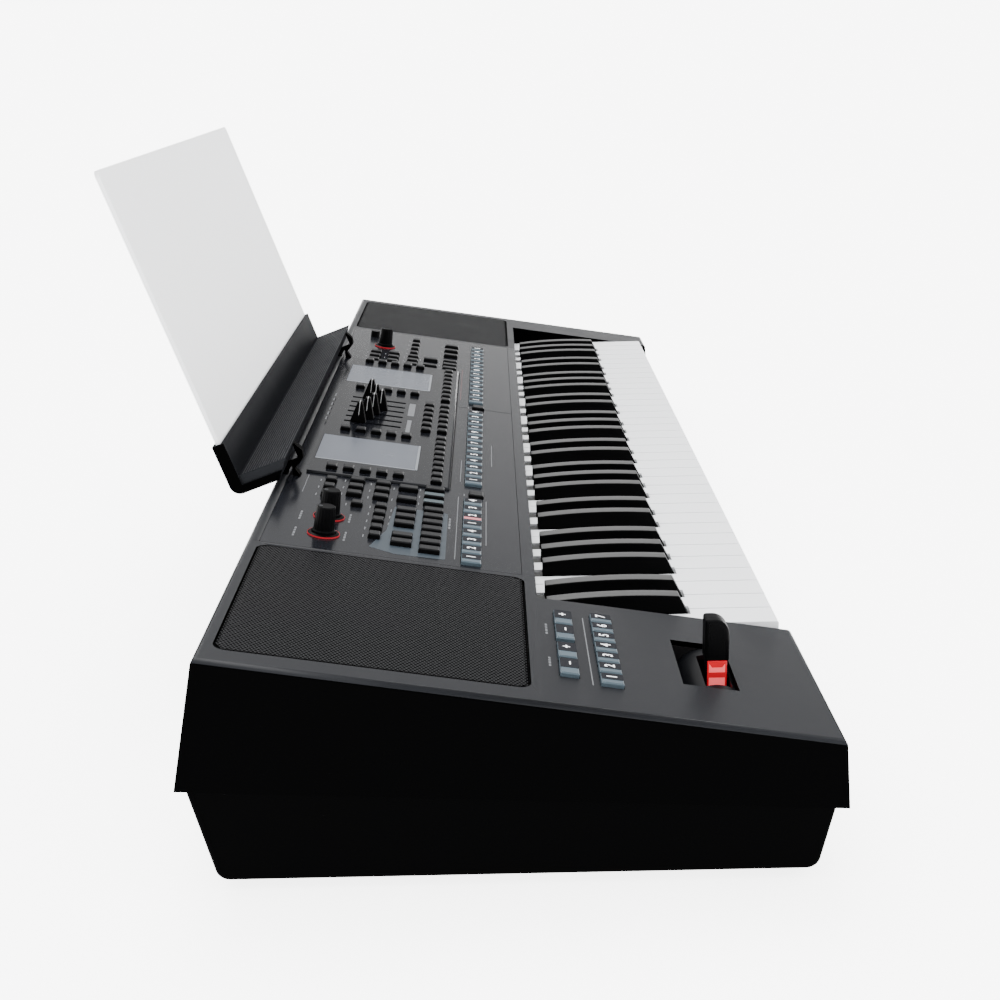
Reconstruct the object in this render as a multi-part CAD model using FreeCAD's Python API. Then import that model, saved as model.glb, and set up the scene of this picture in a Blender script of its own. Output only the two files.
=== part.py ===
"""Arranger keyboard: a 61-key instrument with built-in speakers and a lift-off music rest.

Millimetres. +X is the player's right, +Y the rear, +Z up. The model is drawn with Z = 0 at the
underside of the lower case and Y = 0 at the front edge of the sloping top, and every piece is
moved at the end so that the origin lies under the middle of the whole instrument, on the floor.
Pieces of the sloping top are drawn flat, in a panel frame of x, v (up the slope) and w (out of
the top), and then tilted into place.
"""
import FreeCAD
import Part
import math
import os

V = FreeCAD.Vector
X_AXIS = V(1, 0, 0)
Y_AXIS = V(0, 1, 0)
Z_AXIS = V(0, 0, 1)

# Cuts run past the faces that they open by this much.
OVERRUN = 20.0

# Case: its width is the keys' with the left block and the right cheek, and its depth is the keys'
# with the control panel behind them.
LEFT_BLOCK_WIDTH = 145.6
RIGHT_CHEEK_WIDTH = 53.4
TOP_FRONT_Z = 72.0
PANEL_TILT = 9.0
FALLBOARD_Y = 142.1
PANEL_FRONT_STRIP = 7.53
PANEL_DEPTH = 152.3
REAR_STRIP = 6.64
FRONT_LEAN = 2.5
REAR_LEAN = 13.0
JOINT_FRONT_Z = 36.9
JOINT_REAR_Z = 52.8
CASE_WALL = 3.0
TOP_EDGE_R = 3.0
LOWER_FRONT_STEP = 5.1
LOWER_REAR_STEP = 5.0
LOWER_FRONT_DRAFT = 7.1
LOWER_REAR_DRAFT = 11.4
LOWER_END_STEP = 1.5
LOWER_END_DRAFT = 7.3
LOWER_EDGE_R = 7.0
LOWER_END_R = 2.0
SEAT_RIM = 4.0
SEAT_THICK = 2.0
LEDGE_WIDTH = 9.0

# Keys
WHITE_COUNT = 36
OCTAVE_COUNT = 5
WHITE_PITCH = 23.5
KEY_GAP = 1.0
KEY_FRONT_Y = 6.8
KEY_RISE = 5.1
WHITE_HEAD = 48.5
WHITE_FRONT_SKIRT = 20.0
KEY_SKIRT = 14.0
KEY_WALL = 1.8
KEY_TOP_WALL = 3.0
KEY_EDGE_R = 1.0
BLACK_WIDTH = 11.0
BLACK_TOP_WIDTH = 9.4
BLACK_SLOPE = 5.7
BLACK_REAR_GAP = 5.9
BLACK_FRONT_RISE = 10.4
BLACK_MID_RISE = 11.2
BLACK_REAR_RISE = 8.6
BLACK_TAIL_DROP = 1.2
KEY_TAIL = 37.9
PIVOT_REACH = 9.0
PIVOT_DROP = 11.1
PIVOT_R = 2.0
PIVOT_CLEAR = 0.1
KNUCKLE_R = 5.0
KNUCKLE_WIDTH = 7.5
KEY_DIP = 10.0
KEY_SIDE_GAP = 0.6
KEYSLIP_DROP = 18.0
KEYSLIP_DEPTH = 4.5
FALLBOARD_GAP = 2.4

# Key bed
CHASSIS_DROP = 37.1
CHASSIS_THICK = 2.0
CHASSIS_FRONT_Y = 8.0
CHASSIS_REAR = 11.0
EAR_THICK = 3.0
EAR_MARGIN = 4.0
FELT_DEPTH = 9.0
FELT_THICK = 2.5
STOP_GAP = 0.3
BOARD_THICK = 1.6
CONTACT_SHARE = 0.774
CONTACT_DEPTH = 26.0
CONTACT_BASE = 4.0
DOME_R = 4.0
DOME_TOP_R = 2.2
SPRING_SET = 20.0
SPRING_LENGTH = 30.0
SPRING_WIDTH = 5.0
SPRING_THICK = 0.8
SPRING_LOAD_GAP = 0.4
RIB_THICK = 3.0
RIB_SHARES = (0.06, 0.28, 0.5, 0.72, 0.94)

# Feet and case screws
FOOT_R = 13.0
FOOT_H = 6.0
FOOT_INSET_X = 52.0
FOOT_INSET_Y = 40.0
SCREW_R = 1.75
SCREW_HEAD_R = 3.6
SCREW_HEAD_H = 2.6
SCREW_GRIP = 9.0
SCREW_BITE = 12.0
SCREW_FLOAT = 0.25
BOSS_WALL = 2.4
BOSS_ROOF = 4.0
FRONT_SCREW_Y = 22.0
REAR_SCREW_SET = 15.6
LEFT_SCREW_SHARES = (0.17, 0.86)
RIGHT_SCREW_SHARE = 0.46
REAR_SCREW_SHARES = (-0.953, -0.34, 0.0, 0.34, 0.953)

# Grilles and speakers
GRILLE_MARGIN = 15.5
GRILLE_MEAN_WIDTH = 156.5
GRILLE_FRONT_STEP = 1.0
GRILLE_THICK = 1.2
GRILLE_CLEAR = 0.6
GRILLE_CORNER = 7.0
PANEL_STRIP = 5.0
SPEAKER_SHARE = 0.326
BASKET_SHARE = 0.1435
MAGNET_SHARE = 0.15
SPEAKER_FLANGE = 7.0
SPEAKER_FLANGE_H = 3.0
SPEAKER_DEPTH = 34.0
MAGNET_H = 15.0
CONE_WALL = 1.0
CONE_CLEAR = 0.4
DOME_CAP_SHARE = 0.3

# Control panel and display panel
PANEL_X = 3.0
PANEL_THICK = 3.0
PANEL_CLEAR = 0.3
DISPLAY_WIDTH_SHARE = 0.5564
DISPLAY_FRONT_SHARE = 0.302
DISPLAY_DEPTH_SHARE = 0.6303
DISPLAY_RISE = 2.0
DISPLAY_RIM = 3.0
LCD_OFFSET_SHARE = 0.3277
LCD_WIDTH_SHARE = 0.1756
LCD_FRONT_SHARE = 0.2396
LCD_DEPTH_SHARE = 0.7417
LCD_RIM = 2.0
LCD_GLASS = 1.6
LCD_MODULE_RIM = 4.0

# Buttons: widths are shares of the panel's width and lengths are shares of its depth.
BUTTON_CLEAR = 0.4
BUTTON_FLANGE = 0.8
BUTTON_FLANGE_H = 1.2
BUTTON_TRAVEL = 1.0
SWITCH_SIZE = 5.0
SWITCH_H = 3.5
SWITCH_GAP = 0.05
NUMBER_CAP_H = 2.4
BLACK_CAP_H = 3.2
CAP_EDGE = 0.7
SMALL_SHARE = 0.046
MID_SHARE = 0.063
LONG_SHARE = 0.0827
NUMBER_DEEP_SHARE = 0.0762
BUTTON_ACROSS_SHARE = 0.011
NUMBER_ACROSS_SHARE = 0.0208
POWER_R = 4.2
POWER_H = 6.0
POWER_X_SHARE = 0.903
POWER_V_SHARE = 0.856

# Left block buttons, as shares of the block's width and of the fallboard's distance
LEFT_NUMBER_COUNT = 7
LEFT_NUMBER_X_SHARE = 0.5295
LEFT_PITCH_SHARE = 0.0955
LEFT_WEB = 1.9
LEFT_DEEP = 11.2
LEFT_NUMBER_V_SHARE = 0.7755
PAIR_ACROSS_SHARE = 0.136
PAIR_DEEP = 9.4
PAIR_V_SHARE = 0.9219
PAIR_SHARES = (-0.763, -0.245, 0.355, 0.873)
PILLAR_SIZE = 3.0

# Sliders
SLIDER_COUNT = 6
SLIDER_PITCH_SHARE = 0.0421
SLIDER_OFFSET_SHARE = -0.0104
SLIDER_SLOT_SHARE = 0.426
SLIDER_LENGTH_SHARE = 0.4479
SLIDER_SLOT_WIDTH = 4.4
SLIDER_STEM = 2.6
SLIDER_STEM_LENGTH = 4.0
SLIDER_CAP_H = 15.5
SLIDER_CAP_WIDTH = 6.0
SLIDER_CAP_LENGTH = 12.0
SLIDER_CAP_TOP = 3.4
SLIDER_CAP_FLOAT = 0.6
SLIDER_POT_WIDTH = 9.0
SLIDER_POT_MARGIN = 6.0
SLIDER_POT_H = 5.2
SLIDER_POT_WALL = 1.2
SLIDER_REST_SHARES = (0.788, 0.66, 0.564, 0.43, 0.577, 0.7)

# Knobs
KNOB_R = 7.0
KNOB_TOP_R = 5.4
KNOB_H = 17.5
KNOB_FLOAT = 0.6
KNOB_SHAFT_R = 3.0
KNOB_SHAFT_CLEAR = 0.05
KNOB_HOLE = 7.4
KNOB_EDGE_R = 0.8
POT_SIZE = 11.0
POT_H = 5.2
RING_R = 10.0
RING_WALL = 2.2
RING_H = 1.6
KNOB_V_SHARE = 0.775
KNOB_X_SHARES = (-0.9185, -0.8195, 0.779)

# Pitch lever
BENDER_X_SHARE = 0.5185
BENDER_Y_SHARE = 0.3842
BENDER_DROP = 20.25
BENDER_R = 18.0
BENDER_SLOT_WIDTH = 60.0
BENDER_SLOT_SET = 10.5
BENDER_SLOT_DEPTH = 28.6
DRUM_WALL = 2.4
DRUM_LENGTH = 57.0
DRUM_CUT_DROP = 6.0
DRUM_SLIT_WIDTH = 40.0
DRUM_SLIT_DEPTH = 13.6
TRUNNION_R = 3.0
TRUNNION_LENGTH = 5.0
TRUNNION_CLEAR = 0.06
HOUSING_WALL = 3.0
HOUSING_DEPTH = 34.0
HOUSING_DROP = 28.0
LEVER_SET = 2.2
LEVER_PIN_R = 2.0
LEVER_BOSS_R = 5.0
LEVER_CORE = 5.0
LEVER_WIDTH = 13.0
LENS_RISE = 9.1
LENS_TOP_RISE = 25.4
LENS_DEPTH = 10.2
PADDLE_RISE = 47.3
PADDLE_DEPTH = 12.4
PADDLE_R = 8.0
PADDLE_REAR_R = 1.5
PADDLE_SIDE_R = 2.0

# Boards and rear sockets
BOARD_STANDOFF = 8.0
POST_R = 3.0
MAIN_BOARD_SHARE = -0.287
MAIN_BOARD_WIDTH_SHARE = 0.2105
MAIN_BOARD_GAP = 12.0
CHIP_SIZE = 26.0
CHIP_H = 3.0
CHIP_SHARES = ((0.25, 0.4), (0.55, 0.55), (0.8, 0.35))
AUDIO_BOARD_SHARE = 0.536
AUDIO_WIDTH_SHARE = 0.1722
AUDIO_BOARD_DEPTH = 62.0
AUDIO_BOARD_RISE = 11.2
AUDIO_POST_SPAN = 26.0
SOCKET_SHARES = (0.1, 0.25, 0.4, 0.55)
SOCKET_BORE_R = 3.3
SOCKET_RIM_R = 5.6
SOCKET_RIM_CLEAR = 0.3
SOCKET_RIM_OUT = 1.6
SOCKET_BODY = 15.0
SOCKET_LENGTH = 26.0
POWER_SOCKET_SHARE = 0.9
POWER_SOCKET_BORE_R = 3.2
POWER_SOCKET_PIN_R = 1.0
DATA_SOCKET_SHARE = 0.72
DATA_SOCKET_WIDTH = 8.6
DATA_SOCKET_WALL = 1.0

# Music rest
REST_X = 3.0
REST_LENGTH_SHARE = 0.7033
REST_TILT = 20.0
REST_SET = 16.7
REST_RISE = 4.34
REST_LEDGE = 30.5
REST_FLOOR = 5.7
REST_PAD_H = 5.5
REST_PAD_INSET = 2.0
REST_FLANGE_H = 29.0
REST_FLANGE_SET = 1.5
REST_FLANGE_THICK = 8.0
REST_CORNER_R = 7.0
REST_SLOT_DEPTH = 12.0
PLATE_THICK = 3.0
PLATE_CLEAR = 0.1
PLATE_HEIGHT = 193.7
PLATE_INSET = 2.5
PLATE_CORNER_R = 5.0
HOOK_SHARE = 0.4115
HOOK_WIDTH = 8.0
HOOK_THICK = 3.2
HOOK_FOOT = 5.0
HOOK_WAVE = 3.0
HOOK_HORN = 4.2
HOOK_TIP = 1.2
HOOK_HORN_SHARE = 0.45
HOOK_SET = 12.0
HEEL_SET = 3.6
HEEL_DEPTH = 5.0

# Sizes that follow from the ones above
TILT = math.radians(PANEL_TILT)
SLOPE = math.tan(TILT)
KEYS_WIDTH = WHITE_COUNT * WHITE_PITCH
CASE_WIDTH = LEFT_BLOCK_WIDTH + KEYS_WIDTH + RIGHT_CHEEK_WIDTH
HALF_WIDTH = CASE_WIDTH / 2
FIRST_KEY_X = LEFT_BLOCK_WIDTH - HALF_WIDTH
KEYS_END_X = FIRST_KEY_X + KEYS_WIDTH
KEYS_LEFT = FIRST_KEY_X - KEY_SIDE_GAP
KEYS_RIGHT = KEYS_END_X + KEY_SIDE_GAP
PANEL_V = FALLBOARD_Y / math.cos(TILT) + PANEL_FRONT_STRIP
TOP_DEPTH = (PANEL_V + PANEL_DEPTH) * math.cos(TILT) + REAR_STRIP
TOP_REAR_Z = TOP_FRONT_Z + TOP_DEPTH * SLOPE
PANEL_WIDTH = CASE_WIDTH - 2 * (GRILLE_MARGIN + GRILLE_MEAN_WIDTH + PANEL_STRIP)
PANEL_UNDER = PANEL_THICK + BUTTON_FLANGE_H + BUTTON_TRAVEL + SWITCH_GAP + SWITCH_H
GRILLE_OUTER_X = HALF_WIDTH - GRILLE_MARGIN
GRILLE_V = PANEL_V - GRILLE_FRONT_STEP
GRILLE_DEPTH = PANEL_DEPTH + GRILLE_FRONT_STEP
SPEAKER_R = SPEAKER_SHARE * GRILLE_DEPTH
BASKET_R = BASKET_SHARE * GRILLE_DEPTH
MAGNET_R = MAGNET_SHARE * GRILLE_DEPTH
DOME_CAP_R = DOME_CAP_SHARE * SPEAKER_R
DISPLAY_WIDTH = DISPLAY_WIDTH_SHARE * PANEL_WIDTH
DISPLAY_V = PANEL_V + DISPLAY_FRONT_SHARE * PANEL_DEPTH
DISPLAY_DEPTH = DISPLAY_DEPTH_SHARE * PANEL_DEPTH
LCD_OFFSET = LCD_OFFSET_SHARE * DISPLAY_WIDTH
LCD_WIDTH = LCD_WIDTH_SHARE * DISPLAY_WIDTH
LCD_V = DISPLAY_V + LCD_FRONT_SHARE * DISPLAY_DEPTH
LCD_DEPTH = LCD_DEPTH_SHARE * DISPLAY_DEPTH
SLIDER_PITCH = SLIDER_PITCH_SHARE * DISPLAY_WIDTH
SLIDER_MID_X = PANEL_X + SLIDER_OFFSET_SHARE * DISPLAY_WIDTH
SLIDER_SLOT_V = DISPLAY_V + SLIDER_SLOT_SHARE * DISPLAY_DEPTH
SLIDER_SLOT_LENGTH = SLIDER_LENGTH_SHARE * DISPLAY_DEPTH
SLIDER_TRAVEL = SLIDER_SLOT_LENGTH - SLIDER_STEM_LENGTH - 2 * SLIDER_CAP_FLOAT
SMALL_BUTTON = SMALL_SHARE * PANEL_DEPTH
MID_BUTTON = MID_SHARE * PANEL_DEPTH
LONG_BUTTON = LONG_SHARE * PANEL_DEPTH
NUMBER_DEEP = NUMBER_DEEP_SHARE * PANEL_DEPTH
BUTTON_ACROSS = BUTTON_ACROSS_SHARE * PANEL_WIDTH
NUMBER_ACROSS = NUMBER_ACROSS_SHARE * PANEL_WIDTH
LEFT_NUMBER_X = LEFT_NUMBER_X_SHARE * LEFT_BLOCK_WIDTH - HALF_WIDTH
LEFT_NUMBER_PITCH = LEFT_PITCH_SHARE * LEFT_BLOCK_WIDTH
LEFT_ACROSS = LEFT_NUMBER_PITCH - LEFT_WEB
LEFT_NUMBER_V = LEFT_NUMBER_V_SHARE * FALLBOARD_Y
PAIR_ACROSS = PAIR_ACROSS_SHARE * LEFT_BLOCK_WIDTH
PAIR_V = PAIR_V_SHARE * FALLBOARD_Y
KEY_TOP_Z = TOP_FRONT_Z + KEY_RISE
BLACK_FRONT_Y = KEY_FRONT_Y + WHITE_HEAD
BLACK_REAR_Y = FALLBOARD_Y - BLACK_REAR_GAP
KEY_TAIL_Y = FALLBOARD_Y + KEY_TAIL
PIVOT_Y = KEY_TAIL_Y + PIVOT_REACH
PIVOT_Z = KEY_TOP_Z - PIVOT_DROP
KEY_ANGLE = math.degrees(math.asin(KEY_DIP / (PIVOT_Y - KEY_FRONT_Y)))
KEYSLIP_Z = TOP_FRONT_Z - KEYSLIP_DROP
CHASSIS_Z = KEY_TOP_Z - CHASSIS_DROP
CHASSIS_REAR_Y = PIVOT_Y + CHASSIS_REAR
CONTACT_Y = CONTACT_SHARE * FALLBOARD_Y
SPRING_Y = KEY_TAIL_Y - SPRING_SET
REAR_SCREW_Y = TOP_DEPTH - REAR_SCREW_SET
BENDER_X = BENDER_X_SHARE * LEFT_BLOCK_WIDTH - HALF_WIDTH
BENDER_Y = BENDER_Y_SHARE * FALLBOARD_Y
BENDER_Z = TOP_FRONT_Z + BENDER_Y * SLOPE - BENDER_DROP
BENDER_SLOT_V = BENDER_Y / math.cos(TILT) - BENDER_SLOT_SET
LEVER_MID_Y = BENDER_Y - LEVER_SET
LENS_Z = BENDER_Z + LENS_RISE
LENS_TOP_Z = BENDER_Z + LENS_TOP_RISE
PADDLE_TOP_Z = BENDER_Z + PADDLE_RISE
MAIN_BOARD_X = MAIN_BOARD_SHARE * HALF_WIDTH
MAIN_BOARD_WIDTH = MAIN_BOARD_WIDTH_SHARE * CASE_WIDTH
MAIN_BOARD_Y = CHASSIS_REAR_Y + MAIN_BOARD_GAP
MAIN_BOARD_DEPTH = REAR_SCREW_Y - MAIN_BOARD_GAP - MAIN_BOARD_Y
AUDIO_BOARD_X = AUDIO_BOARD_SHARE * HALF_WIDTH
AUDIO_BOARD_WIDTH = AUDIO_WIDTH_SHARE * CASE_WIDTH
AUDIO_BOARD_Z = JOINT_REAR_Z + AUDIO_BOARD_RISE
REST_LENGTH = REST_LENGTH_SHARE * PANEL_WIDTH
REST_CORNER_Y = TOP_DEPTH + REST_SET
REST_CORNER_Z = TOP_REAR_Z + REST_RISE
PLATE_WIDTH = REST_LENGTH - 2 * PLATE_INSET
HOOK_X = HOOK_SHARE * REST_LENGTH
HOOK_FOOT_Y = TOP_DEPTH - HOOK_SET
HEEL_Y = TOP_DEPTH - HEEL_SET

nodes = {}


def add(name, *solids):
    """Put the solids of some shapes into a node."""
    for shape in solids:
        nodes.setdefault(name, []).extend(shape.Solids)


def block(x0, x1, y0, y1, z0, z1):
    """A box from its two corners."""
    return Part.makeBox(x1 - x0, y1 - y0, z1 - z0, V(x0, y0, z0))


def centred(x, y, across, deep, z0, z1):
    """A box centred on x and y."""
    return block(x - across / 2, x + across / 2, y - deep / 2, y + deep / 2, z0, z1)


def prism_x(points, x0, x1):
    """A prism along X over an outline of (y, z) points."""
    corners = [V(x0, y, z) for y, z in points]
    face = Part.Face(Part.makePolygon(corners + corners[:1]))
    return face.extrude(V(x1 - x0, 0, 0))


def prism_y(points, y0, y1):
    """A prism along Y over an outline of (x, z) points."""
    corners = [V(x, y0, z) for x, z in points]
    face = Part.Face(Part.makePolygon(corners + corners[:1]))
    return face.extrude(V(0, y1 - y0, 0))


def rod(radius, length, start, axis):
    """A cylinder from start along axis."""
    return Part.makeCylinder(radius, length, start, axis)


def tilted(shape):
    """Move a shape from the panel frame into place on the sloping top."""
    turned = shape.rotated(V(0, 0, 0), X_AXIS, PANEL_TILT)
    return turned.translated(V(0, 0, TOP_FRONT_Z))


def panel_point(x, v, w):
    """The place of a point of the panel frame."""
    y = v * math.cos(TILT) - w * math.sin(TILT)
    z = TOP_FRONT_Z + v * math.sin(TILT) + w * math.cos(TILT)
    return V(x, y, z)


def fused(shapes):
    """One clean solid from touching shapes."""
    return shapes[0].multiFuse(shapes[1:]).removeSplitter()


def cut_all(shape, tools):
    """Cut every tool out of a shape."""
    return shape.cut(Part.makeCompound(tools))


def rounded(shape, radius, wanted):
    """Fillet the edges that the test picks."""
    picked = [edge for edge in shape.Edges if wanted(edge)]
    return shape.makeFillet(radius, picked)


def runs_along(edge, axis):
    """Whether a straight edge runs along an axis."""
    if not isinstance(edge.Curve, Part.Line):
        return False
    return abs(edge.Curve.Direction.dot(axis)) > math.cos(TILT / 2)


def top_z(y, depth=0):
    """Height of the sloping top, or of a plane below it, at y."""
    return TOP_FRONT_Z + y * SLOPE - depth / math.cos(TILT)


def joint_z(y):
    """Height of the line where the two cases meet."""
    front = -FRONT_LEAN
    rear = TOP_DEPTH + REAR_LEAN
    return JOINT_FRONT_Z + (y - front) / (rear - front) * (JOINT_REAR_Z - JOINT_FRONT_Z)


def rear_y(z):
    """Place of the leaning rear face of the upper case at a height."""
    return TOP_DEPTH + REAR_LEAN * (TOP_REAR_Z - z) / (TOP_REAR_Z - JOINT_REAR_Z)


# Places of the buttons on the control panel: group, row as a share of the panel's depth, first
# and last button as shares of half its width from the middle, count, width and length, cap height.
BUTTON_ROW_SHARES = (
    ("number_buttons_left", 0.197, -0.9659, -0.6301, 8, NUMBER_ACROSS, NUMBER_DEEP, NUMBER_CAP_H),
    ("number_buttons_middle", 0.197, -0.4837, 0.1042, 13, NUMBER_ACROSS, NUMBER_DEEP, NUMBER_CAP_H),
    ("number_buttons_right", 0.197, 0.2344, 0.8886, 14, NUMBER_ACROSS, NUMBER_DEEP, NUMBER_CAP_H),
    ("left_function_buttons", 0.183, -0.5700, -0.5700, 1, MID_BUTTON, MID_BUTTON, NUMBER_CAP_H),
    ("left_function_buttons", 0.814, -0.6899, -0.5951, 3, BUTTON_ACROSS, SMALL_BUTTON, BLACK_CAP_H),
    ("left_function_buttons", 0.703, -0.6686, -0.5789, 3, BUTTON_ACROSS, MID_BUTTON, BLACK_CAP_H),
    ("left_function_buttons", 0.680, -0.7294, -0.7294, 1, BUTTON_ACROSS, SMALL_BUTTON, BLACK_CAP_H),
    ("left_function_buttons", 0.590, -0.6698, -0.5798, 3, BUTTON_ACROSS, MID_BUTTON, BLACK_CAP_H),
    ("left_function_buttons", 0.580, -0.9001, -0.7282, 5, BUTTON_ACROSS, SMALL_BUTTON, BLACK_CAP_H),
    ("left_function_buttons", 0.479, -0.6645, -0.5904, 2, BUTTON_ACROSS, LONG_BUTTON, BLACK_CAP_H),
    ("left_function_buttons", 0.473, -0.8162, -0.7343, 3, BUTTON_ACROSS, LONG_BUTTON, BLACK_CAP_H),
    ("left_function_buttons", 0.473, -0.9233, -0.8857, 2, BUTTON_ACROSS, LONG_BUTTON, BLACK_CAP_H),
    ("left_function_buttons", 0.365, -0.6686, -0.5760, 3, BUTTON_ACROSS, LONG_BUTTON, BLACK_CAP_H),
    ("left_function_buttons", 0.361, -0.9436, -0.7149, 7, BUTTON_ACROSS, LONG_BUTTON, BLACK_CAP_H),
    ("right_function_buttons", 0.183, 0.1737, 0.1737, 1, MID_BUTTON, MID_BUTTON, NUMBER_CAP_H),
    ("right_function_buttons", 0.814, 0.5702, 0.6715, 3, BUTTON_ACROSS, MID_BUTTON, BLACK_CAP_H),
    ("right_function_buttons", 0.705, 0.5789, 0.6816, 3, BUTTON_ACROSS, MID_BUTTON, BLACK_CAP_H),
    ("right_function_buttons", 0.590, 0.7236, 0.9001, 4, BUTTON_ACROSS, SMALL_BUTTON, BLACK_CAP_H),
    ("right_function_buttons", 0.588, 0.5687, 0.6700, 3, BUTTON_ACROSS, MID_BUTTON, BLACK_CAP_H),
    ("right_function_buttons", 0.480, 0.5803, 0.6599, 2, BUTTON_ACROSS, LONG_BUTTON, BLACK_CAP_H),
    ("right_function_buttons", 0.363, 0.5760, 0.6657, 3, BUTTON_ACROSS, LONG_BUTTON, BLACK_CAP_H),
    ("right_function_buttons", 0.363, 0.7496, 0.8799, 3, BUTTON_ACROSS, LONG_BUTTON, BLACK_CAP_H),
)

# The same for the buttons on the display panel, with shares of that panel's depth and half width.
DISPLAY_ROW_SHARES = (
    ("display_buttons", 0.226, 0.1904, -0.2444, 6, BUTTON_ACROSS, SMALL_BUTTON, BLACK_CAP_H),
    ("display_buttons", 0.098, -0.9600, -0.3589, 9, BUTTON_ACROSS, SMALL_BUTTON, BLACK_CAP_H),
    ("display_buttons", 0.098, -0.2341, 0.1925, 6, BUTTON_ACROSS, SMALL_BUTTON, BLACK_CAP_H),
    ("display_buttons", 0.098, 0.3147, 0.9103, 8, BUTTON_ACROSS, SMALL_BUTTON, BLACK_CAP_H),
)
SOFT_ROW_SHARES = (0.838, 0.7197, 0.6011, 0.4844, 0.3667)
SOFT_COLUMN_SHARES = (-0.9363, -0.3745, 0.3745, 0.9363)


def spread(first, last, count):
    """Evenly spaced values from first to last."""
    if count == 1:
        return [first]
    return [first + (last - first) * i / (count - 1) for i in range(count)]


def panel_buttons():
    """Every button of the sloping top: group, x, v, width, length, cap height, height of its seat."""
    places = []
    for group, row, first, last, count, across, deep, height in BUTTON_ROW_SHARES:
        for share in spread(first, last, count):
            x = PANEL_X + share * PANEL_WIDTH / 2
            places.append((group, x, PANEL_V + row * PANEL_DEPTH, across, deep, height, 0))
    for group, row, first, last, count, across, deep, height in DISPLAY_ROW_SHARES:
        for share in spread(first, last, count):
            x = PANEL_X + share * DISPLAY_WIDTH / 2
            v = DISPLAY_V + row * DISPLAY_DEPTH
            places.append((group, x, v, across, deep, height, DISPLAY_RISE))
    for column in SOFT_COLUMN_SHARES:
        for row in SOFT_ROW_SHARES:
            x = PANEL_X + column * DISPLAY_WIDTH / 2
            v = DISPLAY_V + row * DISPLAY_DEPTH
            places.append(("display_buttons", x, v, BUTTON_ACROSS, SMALL_BUTTON, BLACK_CAP_H, DISPLAY_RISE))
    return places


def left_buttons():
    """The buttons of the left block, in the same form."""
    places = []
    for i in range(LEFT_NUMBER_COUNT):
        x = LEFT_NUMBER_X + (i - (LEFT_NUMBER_COUNT - 1) / 2) * LEFT_NUMBER_PITCH
        places.append(("registration_buttons", x, LEFT_NUMBER_V, LEFT_ACROSS, LEFT_DEEP, NUMBER_CAP_H, 0))
    half = (LEFT_NUMBER_COUNT - 1) / 2 * LEFT_NUMBER_PITCH
    for share in PAIR_SHARES:
        x = LEFT_NUMBER_X + share * half
        places.append(("octave_buttons", x, PAIR_V, PAIR_ACROSS, PAIR_DEEP, NUMBER_CAP_H, 0))
    return places


def button_hole(place):
    """The hole that a button passes through, in the panel frame."""
    group, x, v, across, deep, height, rise = place
    clear = 2 * BUTTON_CLEAR
    return centred(x, v, across + clear, deep + clear, -OVERRUN, OVERRUN)


def make_buttons():
    """Caps with their hidden flanges, and the switch under each."""
    for place in panel_buttons() + left_buttons():
        group, x, v, across, deep, height, rise = place
        base = -PANEL_THICK - BUTTON_FLANGE_H
        cap = centred(x, v, across, deep, base, rise + height)
        top = rise + height
        cap = cap.makeChamfer(CAP_EDGE, [e for e in cap.Edges if e.BoundBox.ZMin > top - CAP_EDGE / 2])
        rim = 2 * BUTTON_CLEAR + 2 * BUTTON_FLANGE
        flange = centred(x, v, across, deep + rim, base, -PANEL_THICK)
        add(group, tilted(fused([cap, flange])))
        switch_top = base - BUTTON_TRAVEL - SWITCH_GAP
        switch = centred(x, v, SWITCH_SIZE, SWITCH_SIZE, switch_top - SWITCH_H, switch_top)
        add("button_switches", tilted(switch))


def make_power_button():
    """A round power button at the rear right of the control panel."""
    x = PANEL_X + POWER_X_SHARE * PANEL_WIDTH / 2
    v = PANEL_V + POWER_V_SHARE * PANEL_DEPTH
    base = -PANEL_THICK - BUTTON_FLANGE_H
    stem = rod(POWER_R, POWER_H - base, V(x, v, base), Z_AXIS)
    stem = rounded(stem, CAP_EDGE, lambda e: e.BoundBox.ZMin > POWER_H - CAP_EDGE / 2)
    flange_r = POWER_R + BUTTON_CLEAR + BUTTON_FLANGE
    flange = rod(flange_r, BUTTON_FLANGE_H, V(x, v, base), Z_AXIS)
    add("power_button", tilted(fused([stem, flange])))
    switch_top = base - BUTTON_TRAVEL - SWITCH_GAP
    switch = centred(x, v, SWITCH_SIZE, SWITCH_SIZE, switch_top - SWITCH_H, switch_top)
    add("button_switches", tilted(switch))


def power_hole():
    """The round hole for the power button."""
    x = PANEL_X + POWER_X_SHARE * PANEL_WIDTH / 2
    v = PANEL_V + POWER_V_SHARE * PANEL_DEPTH
    return rod(POWER_R + BUTTON_CLEAR, 2 * OVERRUN, V(x, v, -OVERRUN), Z_AXIS)


def knob_places():
    """Centres of the three knobs in the panel frame."""
    v = PANEL_V + KNOB_V_SHARE * PANEL_DEPTH
    return [(PANEL_X + share * PANEL_WIDTH / 2, v) for share in KNOB_X_SHARES]


def slider_x(i):
    """Place across of one slider."""
    return SLIDER_MID_X + (i - (SLIDER_COUNT - 1) / 2) * SLIDER_PITCH


def slider_v(i):
    """Place up the slope of one slider as the photograph shows it."""
    first = SLIDER_SLOT_V + SLIDER_CAP_FLOAT + SLIDER_STEM_LENGTH / 2
    return first + SLIDER_REST_SHARES[i] * SLIDER_TRAVEL


def grille_span(side):
    """Middle and width of the left (-1) or right (1) grille opening."""
    outer = side * GRILLE_OUTER_X
    inner = PANEL_X + side * (PANEL_WIDTH / 2 + PANEL_STRIP)
    return (outer + inner) / 2, abs(outer - inner)


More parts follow.
